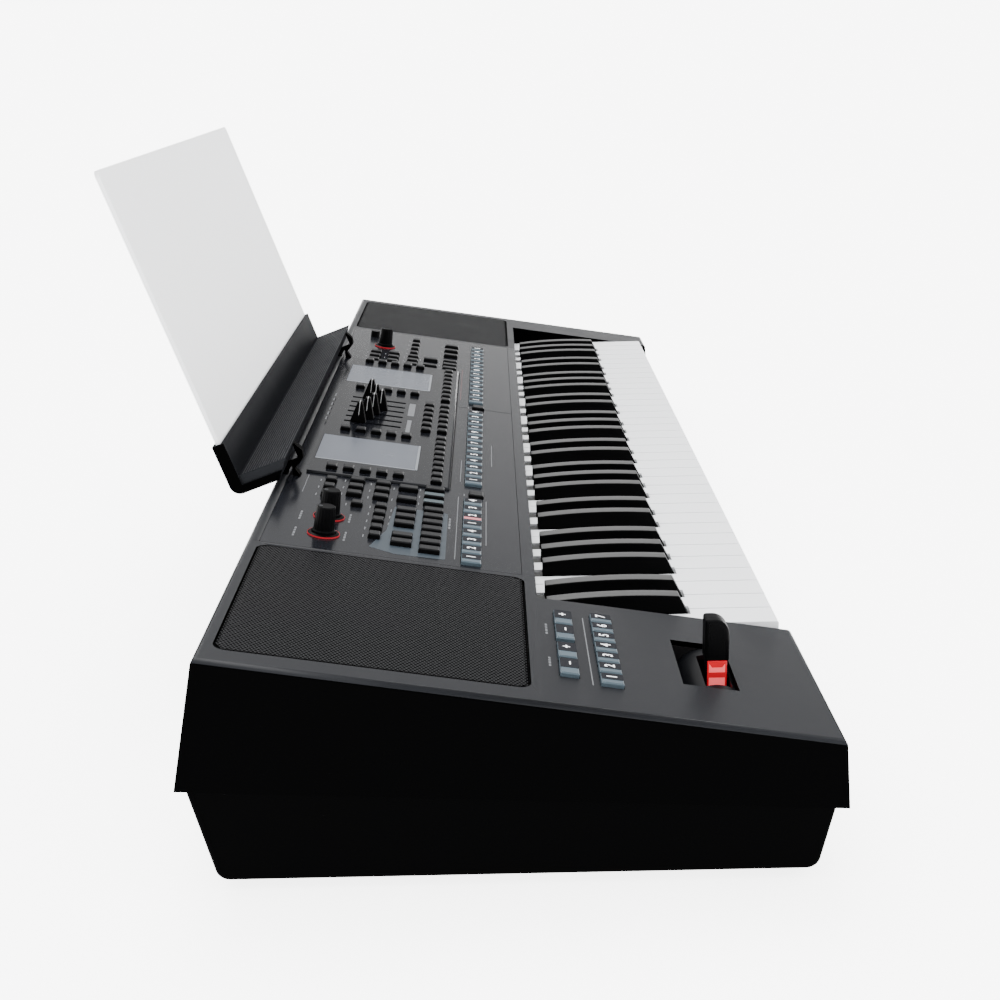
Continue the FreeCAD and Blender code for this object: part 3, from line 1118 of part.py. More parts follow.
def make_bender():
    """Pitch lever: fixed housing, drum that rocks away from the player, lever that swings across."""
    x0 = BENDER_X - DRUM_LENGTH / 2
    shell = rod(BENDER_R, DRUM_LENGTH, V(x0, BENDER_Y, BENDER_Z), X_AXIS)
    inner_r = BENDER_R - DRUM_WALL
    bore = rod(inner_r, DRUM_LENGTH - 2 * DRUM_WALL, V(x0 + DRUM_WALL, BENDER_Y, BENDER_Z), X_AXIS)
    shell = shell.cut(bore)
    slit_y = LEVER_MID_Y + (DRUM_SLIT_DEPTH - PADDLE_DEPTH) / 2
    slit_top = BENDER_Z + BENDER_R + OVERRUN
    slit = centred(BENDER_X, slit_y, DRUM_SLIT_WIDTH, DRUM_SLIT_DEPTH, BENDER_Z, slit_top)
    low = BENDER_Z - DRUM_CUT_DROP
    under = block(x0, x0 + DRUM_LENGTH, BENDER_Y - BENDER_R, BENDER_Y + BENDER_R, low - 2 * BENDER_R, low)
    pin_start = V(BENDER_X, BENDER_Y - inner_r - DRUM_WALL / 2, BENDER_Z)
    pin = rod(LEVER_PIN_R, 2 * inner_r + DRUM_WALL, pin_start, Y_AXIS)
    drum = [shell.cut(slit).cut(under), pin]
    for x in (x0 - TRUNNION_LENGTH, x0 + DRUM_LENGTH):
        drum.append(rod(TRUNNION_R, TRUNNION_LENGTH, V(x, BENDER_Y, BENDER_Z), X_AXIS))
    add("bender_drum", fused(drum))
    boss_y = LEVER_MID_Y - LENS_DEPTH / 2
    boss = rod(LEVER_BOSS_R, LENS_DEPTH, V(BENDER_X, boss_y, BENDER_Z), Y_AXIS)
    core = centred(BENDER_X, LEVER_MID_Y, LEVER_CORE, LEVER_CORE, BENDER_Z, LENS_TOP_Z + PADDLE_R)
    stem = centred(BENDER_X, LEVER_MID_Y, LEVER_BOSS_R * 2, LENS_DEPTH, BENDER_Z, LENS_Z)
    paddle = centred(BENDER_X, LEVER_MID_Y, LEVER_WIDTH, PADDLE_DEPTH, LENS_TOP_Z, PADDLE_TOP_Z)
    high = LENS_TOP_Z + PADDLE_R
    front = LEVER_MID_Y - PADDLE_DEPTH / 2 + PADDLE_REAR_R
    paddle = rounded(paddle, PADDLE_R, lambda e: runs_along(e, X_AXIS) and e.BoundBox.ZMin > high
                     and e.BoundBox.YMax < front)
    rear = LEVER_MID_Y + PADDLE_DEPTH / 2 - PADDLE_REAR_R
    paddle = rounded(paddle, PADDLE_REAR_R, lambda e: runs_along(e, X_AXIS) and e.BoundBox.ZMin > high
                     and e.BoundBox.YMin > rear)
    paddle = rounded(paddle, PADDLE_SIDE_R, lambda e: runs_along(e, Z_AXIS))
    bore_start = V(BENDER_X, boss_y - OVERRUN / 2, BENDER_Z)
    pin_bore = rod(LEVER_PIN_R + TRUNNION_CLEAR, LENS_DEPTH + OVERRUN, bore_start, Y_AXIS)
    add("bender_lever", fused([boss, stem, core, paddle]).cut(pin_bore))
    lens = centred(BENDER_X, LEVER_MID_Y, LEVER_WIDTH, LENS_DEPTH, LENS_Z, LENS_TOP_Z)
    add("bender_lens", lens.cut(core))
    make_bender_housing()


def make_bender_housing():
    """A bracket under the left block that carries the drum's trunnions."""
    half = DRUM_LENGTH / 2 + KEY_GAP
    mid_v = BENDER_SLOT_V + BENDER_SLOT_DEPTH / 2
    drop = BENDER_Z - TOP_FRONT_Z - HOUSING_DROP
    parts = []
    for side in (-1, 1):
        x = BENDER_X + side * (half + HOUSING_WALL / 2)
        parts.append(centred(x, mid_v, HOUSING_WALL, HOUSING_DEPTH, drop, -CASE_WALL))
    span = 2 * (half + HOUSING_WALL)
    parts.append(centred(BENDER_X, mid_v, span, HOUSING_DEPTH, drop - HOUSING_WALL, drop))
    housing = tilted(fused(parts))
    bore_r = TRUNNION_R + TRUNNION_CLEAR
    bore = rod(bore_r, span + OVERRUN, V(BENDER_X - span / 2 - OVERRUN / 2, BENDER_Y, BENDER_Z), X_AXIS)
    add("bender_housing", housing.cut(bore))


def make_speakers():
    """Grilles over the speakers, each speaker hung under its baffle."""
    for side in (-1, 1):
        grille = grille_outline(side, -GRILLE_CLEAR, -CASE_WALL, 0)
        add("speaker_grilles", tilted(grille.cut(grille_outline(side, -GRILLE_CLEAR - GRILLE_THICK,
                                                                -CASE_WALL - GRILLE_THICK, -GRILLE_THICK))))
        x = grille_span(side)[0]
        v = GRILLE_V + GRILLE_DEPTH / 2
        top = -CASE_WALL - SEAT_THICK
        low = top - SPEAKER_DEPTH
        flange = rod(SPEAKER_R + SPEAKER_FLANGE, SPEAKER_FLANGE_H, V(x, v, top - SPEAKER_FLANGE_H), Z_AXIS)
        basket = Part.makeCone(BASKET_R, SPEAKER_R, SPEAKER_DEPTH - SPEAKER_FLANGE_H, V(x, v, low), Z_AXIS)
        wall = CONE_WALL + CONE_CLEAR
        bowl_foot = V(x, v, low + wall)
        bowl = Part.makeCone(BASKET_R - 2 * wall, SPEAKER_R - wall, SPEAKER_DEPTH - wall, bowl_foot, Z_AXIS)
        magnet = rod(MAGNET_R, MAGNET_H, V(x, v, low - MAGNET_H), Z_AXIS)
        add("speaker_frames", tilted(fused([flange, basket, magnet]).cut(bowl)))
        make_cone(x, v, low, wall)


def make_cone(x, v, low, wall):
    """Paper cone with its dust cap, seated on the rim of the basket's bowl."""
    depth = SPEAKER_DEPTH - wall
    foot = BASKET_R - 2 * wall
    rim = SPEAKER_R - wall
    outer = Part.makeCone(foot - CONE_CLEAR, rim - CONE_CLEAR, depth, V(x, v, low + wall), Z_AXIS)
    hollow = Part.makeCone(foot - CONE_CLEAR - CONE_WALL, rim - CONE_CLEAR - CONE_WALL, depth,
                           V(x, v, low + wall + CONE_WALL), Z_AXIS)
    cap = rod(DOME_CAP_R, DOME_CAP_R / 2, V(x, v, low + wall), Z_AXIS)
    cap = rounded(cap, DOME_CAP_R / 4, lambda e: e.BoundBox.ZMin > low + wall + DOME_CAP_R / 4)
    add("speaker_cones", tilted(fused([outer.cut(hollow), cap])))


def audio_front():
    """Front edge of the audio board."""
    rear = rear_y(AUDIO_BOARD_Z + BOARD_THICK) - CASE_WALL - STOP_GAP
    return rear - AUDIO_BOARD_DEPTH


def socket_z():
    """Height of the axes of the rear sockets."""
    return AUDIO_BOARD_Z + BOARD_THICK + SOCKET_BODY / 2


def socket_places():
    """Places across of every rear socket."""
    left = AUDIO_BOARD_X - AUDIO_BOARD_WIDTH / 2
    shares = SOCKET_SHARES + (DATA_SOCKET_SHARE, POWER_SOCKET_SHARE)
    return [left + share * AUDIO_BOARD_WIDTH for share in shares]


def make_boards():
    """Main board with chips, audio board, and the sockets that reach through the rear wall."""
    low = CASE_WALL + BOARD_STANDOFF
    x0 = MAIN_BOARD_X - MAIN_BOARD_WIDTH / 2
    main_rear = MAIN_BOARD_Y + MAIN_BOARD_DEPTH
    board = block(x0, x0 + MAIN_BOARD_WIDTH, MAIN_BOARD_Y, main_rear, low, low + BOARD_THICK)
    chips = []
    for across, deep in CHIP_SHARES:
        x = x0 + across * MAIN_BOARD_WIDTH
        y = MAIN_BOARD_Y + deep * MAIN_BOARD_DEPTH
        chips.append(centred(x, y, CHIP_SIZE, CHIP_SIZE, low + BOARD_THICK, low + BOARD_THICK + CHIP_H))
    add("main_board", fused([board] + chips))
    a0 = AUDIO_BOARD_X - AUDIO_BOARD_WIDTH / 2
    y0 = audio_front()
    top = AUDIO_BOARD_Z + BOARD_THICK
    add("audio_board", block(a0, a0 + AUDIO_BOARD_WIDTH, y0, y0 + AUDIO_BOARD_DEPTH, AUDIO_BOARD_Z, top))
    z = socket_z()
    wall = rear_y(z + SOCKET_BODY / 2) - CASE_WALL - STOP_GAP
    mouth = rear_y(z) + SOCKET_RIM_OUT
    places = socket_places()
    for i, x in enumerate(places):
        body = centred(x, wall - SOCKET_LENGTH / 2, SOCKET_BODY, SOCKET_LENGTH, top, top + SOCKET_BODY)
        rim = rod(SOCKET_RIM_R, mouth - wall + SOCKET_BODY / 2, V(x, wall - SOCKET_BODY / 2, z), Y_AXIS)
        socket = fused([body, rim])
        hole = V(x, wall - SOCKET_LENGTH + SOCKET_BODY / 2, z)
        if i < len(SOCKET_SHARES):
            socket = socket.cut(rod(SOCKET_BORE_R, SOCKET_LENGTH + OVERRUN, hole, Y_AXIS))
        elif i == len(SOCKET_SHARES):
            half = DATA_SOCKET_WIDTH - 2 * DATA_SOCKET_WALL
            well = block(x - half / 2, x + half / 2, hole.y, mouth + OVERRUN, z - half / 2, z + half / 2)
            socket = socket.cut(well)
        else:
            socket = socket.cut(rod(POWER_SOCKET_BORE_R, SOCKET_LENGTH + OVERRUN, hole, Y_AXIS))
            pin = rod(POWER_SOCKET_PIN_R, SOCKET_LENGTH / 2, hole, Y_AXIS)
            socket = fused([socket, pin])
        add("rear_sockets", socket)


def rest_point(along, up):
    """A point of the tilted music rest: along the ledge to the rear, and up the plate."""
    angle = math.radians(REST_TILT)
    y = REST_CORNER_Y + along * math.cos(angle) + up * math.sin(angle)
    z = REST_CORNER_Z - along * math.sin(angle) + up * math.cos(angle)
    return y, z


def rest_block(along0, along1, up0, up1, x0, x1):
    """A box in the tilted frame of the music rest."""
    corners = [(along0, up0), (along1, up0), (along1, up1), (along0, up1)]
    return prism_x([rest_point(a, u) for a, u in corners], x0, x1)


def make_music_rest():
    """Tray with a ledge and a slotted flange, the plate that stands in it, and two hooks."""
    x0 = REST_X - REST_LENGTH / 2
    x1 = REST_X + REST_LENGTH / 2
    back = REST_FLANGE_SET + REST_FLANGE_THICK
    floor = rest_block(-REST_LEDGE, back, -REST_FLOOR, 0, x0, x1)
    flange = rest_block(REST_FLANGE_SET, back, -REST_FLOOR, REST_FLANGE_H, x0, x1)
    tray = fused([floor, flange])
    ey, ez = rest_point(back, -REST_FLOOR)
    near = PLATE_CLEAR
    tray = rounded(tray, REST_CORNER_R, lambda e: runs_along(e, X_AXIS)
                   and abs(e.BoundBox.YMin - ey) < near and abs(e.BoundBox.ZMin - ez) < near)
    pad = rest_block(-REST_LEDGE, REST_FLANGE_SET, 0, REST_PAD_H, x0 + REST_PAD_INSET, x1 - REST_PAD_INSET)
    slot_mid = REST_FLANGE_SET + REST_FLANGE_THICK / 2
    px0 = REST_X - PLATE_WIDTH / 2
    grip = PLATE_THICK / 2
    slot_low = REST_FLANGE_H - REST_SLOT_DEPTH
    slot = rest_block(slot_mid - grip - PLATE_CLEAR, slot_mid + grip + PLATE_CLEAR, slot_low,
                      REST_FLANGE_H + OVERRUN, px0 - PLATE_CLEAR, px0 + PLATE_WIDTH + PLATE_CLEAR)
    add("music_rest_tray", fused([tray, pad]).cut(slot))
    plate_high = slot_low + PLATE_HEIGHT
    plate = rest_block(slot_mid - grip, slot_mid + grip, slot_low, plate_high, px0, px0 + PLATE_WIDTH)
    top_y, top_height = rest_point(slot_mid - grip, slot_low + PLATE_HEIGHT - PLATE_CORNER_R)
    short = PLATE_THICK + near
    plate = rounded(plate, PLATE_CORNER_R, lambda e: e.Length < short and e.BoundBox.ZMin > top_height)
    add("music_rest_plate", plate)
    for side in (-1, 1):
        add("music_rest_hooks", make_hook(REST_X + side * HOOK_X))


def make_hook(x):
    """A bent hook on the front of the ledge: a horn, a waved leg on the panel and a heel on the case."""
    fy, fz = rest_point(-REST_LEDGE, -REST_FLOOR)
    hy = HEEL_Y + HEEL_DEPTH
    along = (hy - fy) / math.cos(math.radians(REST_TILT)) - REST_LEDGE
    heel_top = rest_point(along, -REST_FLOOR)
    plate_low = rest_point(along, -REST_FLOOR - HOOK_THICK)
    leg_low = rest_point(-REST_LEDGE + HOOK_THICK, -REST_FLOOR - HOOK_THICK)
    toe = HOOK_FOOT_Y - HOOK_FOOT / 2
    mid = (fz + top_z(toe)) / 2
    horn_up = HOOK_HORN_SHARE * (REST_FLOOR + REST_PAD_H) - REST_FLOOR
    points = [
        rest_point(-REST_LEDGE - HOOK_TIP, REST_PAD_H), rest_point(-REST_LEDGE, REST_PAD_H),
        (fy, fz), heel_top, (hy, plate_low[1]),
        (TOP_DEPTH - CASE_WALL, top_z(TOP_DEPTH - CASE_WALL)),
        (HEEL_Y - HEEL_DEPTH / 2, top_z(HEEL_Y - HEEL_DEPTH / 2)), (HEEL_Y - HEEL_DEPTH / 2, plate_low[1]),
        (leg_low[0] + HOOK_WAVE, leg_low[1]), (leg_low[0] + HOOK_WAVE, mid),
        (HOOK_FOOT_Y + HOOK_FOOT / 2, top_z(HOOK_FOOT_Y + HOOK_FOOT / 2)), (toe, top_z(toe)),
        (fy + HOOK_WAVE, mid), (fy, mid + HOOK_WAVE), rest_point(-REST_LEDGE - HOOK_WAVE, -REST_FLOOR),
        rest_point(-REST_LEDGE - HOOK_HORN, horn_up),
    ]
    return prism_x(points, x - HOOK_WIDTH / 2, x + HOOK_WIDTH / 2)


def build():
    """Make every piece."""
    make_lower_case()
    make_upper_case()
    make_screws_and_feet()
    make_control_panel()
    make_buttons()
    make_power_button()
    make_sliders()
    make_knobs()
    make_keys()
    make_key_bed()
    make_bender()
    make_speakers()
    make_boards()
    make_music_rest()


build()
whole = Part.makeCompound([solid for solids in nodes.values() for solid in solids]).BoundBox
SHIFT = V(-whole.Center.x, -whole.Center.y, -whole.ZMin)
os.makedirs("parts", exist_ok=True)
for node_name, node_solids in nodes.items():
    placed = [solid.translated(SHIFT) for solid in node_solids]
    shape = placed[0] if len(placed) == 1 else Part.makeCompound(placed)
    shape.exportStep("parts/%s.step" % node_name)
print(len(nodes), "nodes", "size %.1f %.1f %.1f" % (whole.XLength, whole.YLength, whole.ZLength))
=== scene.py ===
import logging
import math
from dataclasses import dataclass
from enum import Enum
from typing import Callable, ClassVar, Dict, List, Optional, Sequence, Tuple

import bmesh
import bpy
from mathutils import Matrix, Vector


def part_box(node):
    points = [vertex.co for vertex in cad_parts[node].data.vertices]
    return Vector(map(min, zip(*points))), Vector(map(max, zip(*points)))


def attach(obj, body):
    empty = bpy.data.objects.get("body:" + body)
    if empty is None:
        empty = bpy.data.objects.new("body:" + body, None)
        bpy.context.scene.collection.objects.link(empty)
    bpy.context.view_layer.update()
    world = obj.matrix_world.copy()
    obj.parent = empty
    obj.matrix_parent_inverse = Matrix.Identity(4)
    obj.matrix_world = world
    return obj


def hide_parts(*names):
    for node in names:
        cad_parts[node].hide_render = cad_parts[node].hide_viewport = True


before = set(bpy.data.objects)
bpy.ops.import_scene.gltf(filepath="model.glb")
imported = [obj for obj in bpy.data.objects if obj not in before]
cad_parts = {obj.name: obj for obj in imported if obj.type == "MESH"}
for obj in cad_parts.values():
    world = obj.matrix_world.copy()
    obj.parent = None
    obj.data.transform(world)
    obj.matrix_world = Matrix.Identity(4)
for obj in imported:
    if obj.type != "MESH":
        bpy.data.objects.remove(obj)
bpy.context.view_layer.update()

MM = 0.001
CASE_BODY = "case"
log = logging.getLogger("keyboard")

Point = Tuple[float, float, float]
Colour = Point
Place = Tuple[float, float]
Bar = Tuple[float, float, float, float]
Work = bmesh.types.BMesh
Edge = bmesh.types.BMEdge
Socket = bpy.types.NodeSocket

WHITE = (1.0, 1.0, 1.0, 1.0)
ROUGH_SPREAD = 0.06
LEAST_ROUGH = 0.02
GRAIN_DEPTH = 0.1 * MM
CLOUD_DETAIL = 4.0
GRAIN_DETAIL = 2.0
BRUSHED_STRETCH = (0.03, 1.0, 1.0)
FIBRE_SCALE = 900.0
TRACKS = {"Scale": 90.0, "Mortar Size": 0.03, "Color1": WHITE, "Color2": (0.85, 0.9, 0.85, 1.0),
          "Mortar": (1.6, 1.7, 0.8, 1.0)}
FIGURE_SHARE = 0.6
MERGE = 0.002 * MM
FLAT_ANGLE = math.radians(0.4)
SHARP_ANGLE = math.radians(30.0)
FAR = 1e9


def feed(tree: bpy.types.NodeTree, target: Socket, value: object) -> None:
    """Feeds an input of a node.

    Args:
        tree: the node tree.
        target: the input.
        value: a node or socket to link to it, or its fixed value.
    """
    if isinstance(value, bpy.types.Node):
        value = value.outputs[0]
    if isinstance(value, bpy.types.NodeSocket):
        tree.links.new(value, target)
    else:
        target.default_value = value


def add_node(tree: bpy.types.NodeTree, kind: str, feeds: Optional[Dict[str, object]] = None,
             **settings: object) -> bpy.types.Node:
    """Adds a node to a tree.

    Args:
        tree: the node tree.
        kind: the kind of node.
        feeds: a node, a socket or a value for each named input.
        **settings: the node's own options.

    Returns:
        The new node.
    """
    made = tree.nodes.new(kind)
    for key, value in settings.items():
        setattr(made, key, value)
    for label, value in (feeds or {}).items():
        feed(tree, made.inputs[label], value)
    return made


class Pattern(Enum):
    """What a finish shows close up."""

    MOULDED = "moulded"
    BRUSHED = "brushed"
    FIBRE = "fibre"
    TRACKS = "tracks"


@dataclass(frozen=True)
class Finish:
    """A procedural finish: a colour with clouds in it, varying roughness and a fine grain."""

    name: str
    colour: Colour
    rough: float = 0.5
    mottle: float = 0.1
    cloud: float = 35.0
    grain: float = 0.08
    grain_scale: float = 1800.0
    metallic: float = 0.0
    specular: float = 0.5
    sheen: float = 0.0
    glow: float = 0.0
    pattern: Pattern = Pattern.MOULDED

    def material(self) -> bpy.types.Material:
        """Gives the finish's material, made on first use.

        Returns:
            The material with its nodes.
        """
        found = bpy.data.materials.get(self.name)
        if found is not None:
            return found
        made = bpy.data.materials.new(self.name)
        made.use_nodes = True
        made.diffuse_color = (*self.colour, 1.0)
        tree = made.node_tree
        at = add_node(tree, "ShaderNodeTexCoord").outputs["Object"]
        stretch = BRUSHED_STRETCH if self.pattern is Pattern.BRUSHED else WHITE[:3]
        mapping = add_node(tree, "ShaderNodeMapping", {"Scale": stretch, "Vector": at})
        along = mapping.outputs["Vector"]
        clouds = self._noise(tree, along, self.cloud, CLOUD_DETAIL)
        spread = add_node(tree, "ShaderNodeMapRange", {
            "Value": clouds, "To Min": max(LEAST_ROUGH, self.rough - ROUGH_SPREAD),
            "To Max": min(1.0, self.rough + ROUGH_SPREAD)})
        bump = add_node(tree, "ShaderNodeBump", {
            "Strength": self.grain, "Distance": GRAIN_DEPTH,
            "Height": self._noise(tree, along, self.grain_scale, GRAIN_DETAIL)})
        tint = add_node(tree, "ShaderNodeMix", {
            "Factor": clouds, "A": self._shade(1.0 - self.mottle),
            "B": self._shade(1.0 + self.mottle)}, data_type="RGBA")
        feeds = {"Base Color": self._figure(tree, at, tint.outputs["Result"]),
                 "Roughness": spread.outputs["Result"], "Normal": bump.outputs["Normal"],
                 "Metallic": self.metallic, "Specular IOR Level": self.specular,
                 "Sheen Weight": self.sheen}
        if self.glow > 0.0:
            feeds.update({"Emission Color": (*self.colour, 1.0), "Emission Strength": self.glow})
        for label, value in feeds.items():
            feed(tree, tree.nodes["Principled BSDF"].inputs[label], value)
        return made

    def _shade(self, share: float) -> Tuple[float, ...]:
        """The finish's colour, lighter or darker by a share."""
        return (*(min(1.0, c * share) for c in self.colour), 1.0)

    @staticmethod
    def _noise(tree: bpy.types.NodeTree, along: Socket, scale: float, detail: float) -> Socket:
        """A noise of one scale, in waves per metre."""
        feeds = {"Vector": along, "Scale": scale, "Detail": detail}
        return add_node(tree, "ShaderNodeTexNoise", feeds).outputs["Fac"]

    def _figure(self, tree: bpy.types.NodeTree, at: Socket, tint: Socket) -> Socket:
        """Lays the pattern's own figure over the tinted colour.

        Args:
            tree: the material's node tree.
            at: the texture coordinates.
            tint: the clouded colour.

        Returns:
            The socket with the final colour.
        """
        if self.pattern is Pattern.TRACKS:
            figure = add_node(tree, "ShaderNodeTexBrick", {"Vector": at, **TRACKS})
        elif self.pattern is Pattern.FIBRE:
            figure = add_node(tree, "ShaderNodeTexVoronoi", {"Vector": at, "Scale": FIBRE_SCALE})
        else:
            return tint
        feeds = {"Factor": FIGURE_SHARE, "A": tint, "B": figure.outputs["Color"]}
        over = add_node(tree, "ShaderNodeMix", feeds, data_type="RGBA", blend_type="MULTIPLY")
        return over.outputs["Result"]


def printed(name: str, colour: Colour, specular: float = 0.08, mottle: float = 0.05) -> Finish:
    """A thin print, almost even and with little grain."""
    return Finish(name, colour, mottle=mottle, grain=0.02, specular=specular)


CASE_TOP = Finish("case_top", (0.0100, 0.0105, 0.0122), rough=0.34, specular=0.052)
# Black with almost no reflection: painted shade on the upper case's sides, the tray's ends and the
# hooks, and black plastic with painted shade on the lower case.
BLACK_AND_SHADE = Finish("black_and_shade", (0.0003, 0.0003, 0.00034), rough=0.55, grain=0.10, specular=0.004)
PANEL = Finish("panel", (0.0062, 0.0067, 0.0086), rough=0.18, grain=0.05, specular=0.086)
DISPLAY_TOP = Finish("display_top", (0.0042, 0.0046, 0.0060), rough=0.16, grain=0.05,
                     specular=0.064)
GRILLE = Finish("grille", (0.0057, 0.0059, 0.0066), rough=0.45, grain=0.05, specular=0.055)
GRILLE_BACK = Finish("grille_back", (0.0006, 0.0006, 0.0006), rough=0.95, specular=0.01,
                     pattern=Pattern.FIBRE)
LCD = Finish("lcd", (0.068, 0.075, 0.090), rough=0.25, mottle=0.02, grain=0.0, specular=0.12)
LCD_EDGE = Finish("lcd_edge", (0.135, 0.145, 0.16), rough=0.3, mottle=0.03, grain=0.02,
                  specular=0.12)
KEY_WHITE = Finish("key_white", (0.82, 0.825, 0.83), rough=0.34, mottle=0.012, grain=0.015,
                   specular=0.25)
KEY_BLACK = Finish("key_black", (0.0030, 0.0031, 0.0037), rough=0.34, grain=0.04, specular=0.045)
# Darker and less reflective than the tops: painted shade on the sides of the black keys.
KEY_BLACK_SHADE = Finish("key_black_shade", (0.0008, 0.0008, 0.0009), rough=0.45, grain=0.04,
                  specular=0.02)
# A little lighter than deep black: painted highlight on the tops of the black caps.
CAP_TOP_HIGHLIGHT = Finish("cap_top_highlight", (0.0062, 0.0063, 0.0070), rough=0.40, grain=0.06, specular=0.06)
DEEP_BLACK = Finish("deep_black", (0.0014, 0.0014, 0.0016), rough=0.42, grain=0.06, specular=0.02)
CAP_SLATE = Finish("cap_slate", (0.052, 0.072, 0.087), rough=0.35, mottle=0.04, grain=0.03,
                   specular=0.10)
CAP_LABEL = Finish("cap_label", (0.0075, 0.0080, 0.0105), rough=0.45, mottle=0.05, grain=0.03,
                   specular=0.03)
CAP_LIT = Finish("cap_lit", (0.36, 0.12, 0.135), rough=0.35, mottle=0.03, grain=0.02,
                 specular=0.10, glow=0.25)
CAP_PALE = Finish("cap_pale", (0.034, 0.047, 0.053), rough=0.35, mottle=0.05, grain=0.03,
                  specular=0.10)
PRINT_SOFT = printed("print_soft", (0.34, 0.345, 0.35), mottle=0.03)
PRINT_WHITE = printed("print_white", (0.82, 0.83, 0.84), specular=0.1, mottle=0.03)
PRINT_GREY = printed("print_grey", (0.10, 0.104, 0.110))
PRINT_DARK = printed("print_dark", (0.0025, 0.0025, 0.0028), specular=0.03)
PRINT_ROSE = printed("print_rose", (0.068, 0.040, 0.042))
PRINT_BLUE = Finish("print_blue", (0.024, 0.032, 0.040), rough=0.40, mottle=0.04, grain=0.05,
                    specular=0.10)
RED_LENS = Finish("red_lens", (0.52, 0.008, 0.016), rough=0.18, mottle=0.08, cloud=90.0,
                  grain=0.0, specular=0.1, glow=0.28)
# The lit lens's own glow with painted highlight, for its two bright windows.
RED_GLOW_HIGHLIGHT = Finish("red_glow_highlight", (0.80, 0.10, 0.11), rough=0.2, mottle=0.06, cloud=140.0, grain=0.0,
                  specular=0.1, glow=0.85)
RED_RING = Finish("red_ring", (0.30, 0.012, 0.018), rough=0.3, cloud=200.0, grain=0.0,
                  specular=0.05, glow=0.12)
DRUM = Finish("drum_black", (0.0028, 0.0030, 0.0037), rough=0.38, grain=0.06, specular=0.05)
REST_PALE = Finish("rest_pale", (0.70, 0.705, 0.715), mottle=0.012, grain=0.04, specular=0.2)
REST_DARK = Finish("rest_dark", (0.0070, 0.0074, 0.0086), grain=0.10, specular=0.003)
REST_PAD = Finish("rest_pad", (0.0080, 0.0086, 0.0100), rough=0.55, grain=0.15, specular=0.05)
STEEL = Finish("steel", (0.30, 0.30, 0.31), rough=0.35, metallic=1.0, pattern=Pattern.BRUSHED)
CHASSIS = Finish("chassis_black", (0.0075, 0.0075, 0.0080), grain=0.12, specular=0.08)
FELT = Finish("felt_red", (0.10, 0.008, 0.008), rough=0.95, sheen=0.2, grain=0.6,
              pattern=Pattern.FIBRE)
BOARD = Finish("board_green", (0.008, 0.045, 0.016), rough=0.35, specular=0.2,
               pattern=Pattern.TRACKS)
DOME = Finish("dome_grey", (0.08, 0.08, 0.085), rough=0.7, grain=0.1, specular=0.2)
COMPONENT = Finish("component_black", (0.004, 0.004, 0.004), grain=0.15, specular=0.08)
CONE_PAPER = Finish("cone_paper", (0.005, 0.005, 0.005), rough=0.9, grain=0.5, specular=0.05,
                    pattern=Pattern.FIBRE)
FRAME_BLACK = Finish("frame_black", (0.008, 0.008, 0.008), rough=0.45, metallic=0.4, specular=0.1)
FOOT = Finish("foot_rubber", (0.005, 0.005, 0.005), rough=0.85, grain=0.3, specular=0.05)
FLOOR = Finish("floor_pale", (0.93, 0.93, 0.93), rough=0.9, mottle=0.003, grain=0.0,
               specular=0.05, glow=5.0)


@dataclass(frozen=True)
class Deck:
    """The sloped top of the case: x along the keys, v up the slope from the front, h above it."""

    tilt: float = math.radians(9.0)
    front_y: float = -0.199722
    front_z: float = 0.078

    def matrix(self) -> Matrix:
        """The turn and shift from deck places to the row frame."""
        shift = Matrix.Translation((0.0, self.front_y, self.front_z))
        return shift @ Matrix.Rotation(self.tilt, 4, "X")

    def flat(self, point: Vector) -> Vector:
        """The deck place of a point in the row frame."""
        return self.matrix().inverted() @ point

    def up(self) -> Vector:
        """The way that the deck faces."""
        return self.matrix().to_3x3() @ Vector((0.0, 0.0, 1.0))


DECK = Deck()


@dataclass(frozen=True)
class Island:
    """The deck box of one separate solid."""

    low: Vector
    high: Vector

    def middle(self) -> Vector:
        """The middle of its top."""
        low, high = self.low, self.high
        return Vector(((low.x + high.x) / 2.0, (low.y + high.y) / 2.0, high.z))

    def size(self) -> Vector:
        """Its width, length and height."""
        return self.high - self.low


class Tree:
    """A node tree for geometry, with named inputs."""

    placing: Dict[str, str] = {"Tilt": "Float", "Place": "Vector"}

    def __init__(self, name: str, sizes: Dict[str, str]) -> None:
        """Makes the tree with its inputs and a geometry output.

        Args:
            name: the tree's name.
            sizes: the kind of socket of each named size.
        """
        self.group = bpy.data.node_groups.new(name, "GeometryNodeTree")
        face = self.group.interface
        for label, kind in {"Geometry": "Geometry", **sizes, **self.placing}.items():
            face.new_socket(label, in_out="INPUT", socket_type="NodeSocket" + kind)
        face.new_socket("Geometry", in_out="OUTPUT", socket_type="NodeSocketGeometry")
        self.inputs = self.node("NodeGroupInput").outputs
        self.output = self.node("NodeGroupOutput").inputs["Geometry"]

    def node(self, kind: str, feeds: Optional[Dict[str, object]] = None,
             **settings: object) -> bpy.types.Node:
        """Adds a node to the tree, as add_node does."""
        return add_node(self.group, kind, feeds, **settings)

    def times(self, label: str, factor: float) -> bpy.types.Node:
        """Adds the product of an input and a number.

        Args:
            label: the input's name.
            factor: the number.

        Returns:
            The node.
        """
        made = self.node("ShaderNodeMath", operation="MULTIPLY")
        feed(self.group, made.inputs[0], self.inputs[label])
        feed(self.group, made.inputs[1], factor)
        return made

    def close(self, points: object, shape: bpy.types.Node) -> "Tree":
        """Ends the tree: a shape on each point, turned to its place.

        Args:
            points: the points' node or socket.
            shape: the shape's node.

        Returns:
            The tree.
        """
        spread = self.node("GeometryNodeInstanceOnPoints", {"Points": points, "Instance": shape})
        real = self.node("GeometryNodeRealizeInstances", {"Geometry": spread})
        turn = self.node("ShaderNodeCombineXYZ", {"X": self.inputs["Tilt"]})
        place = self.node("GeometryNodeTransform", {
            "Geometry": real, "Rotation": turn, "Translation": self.inputs["Place"]})
        feed(self.group, self.output, place)
        return self


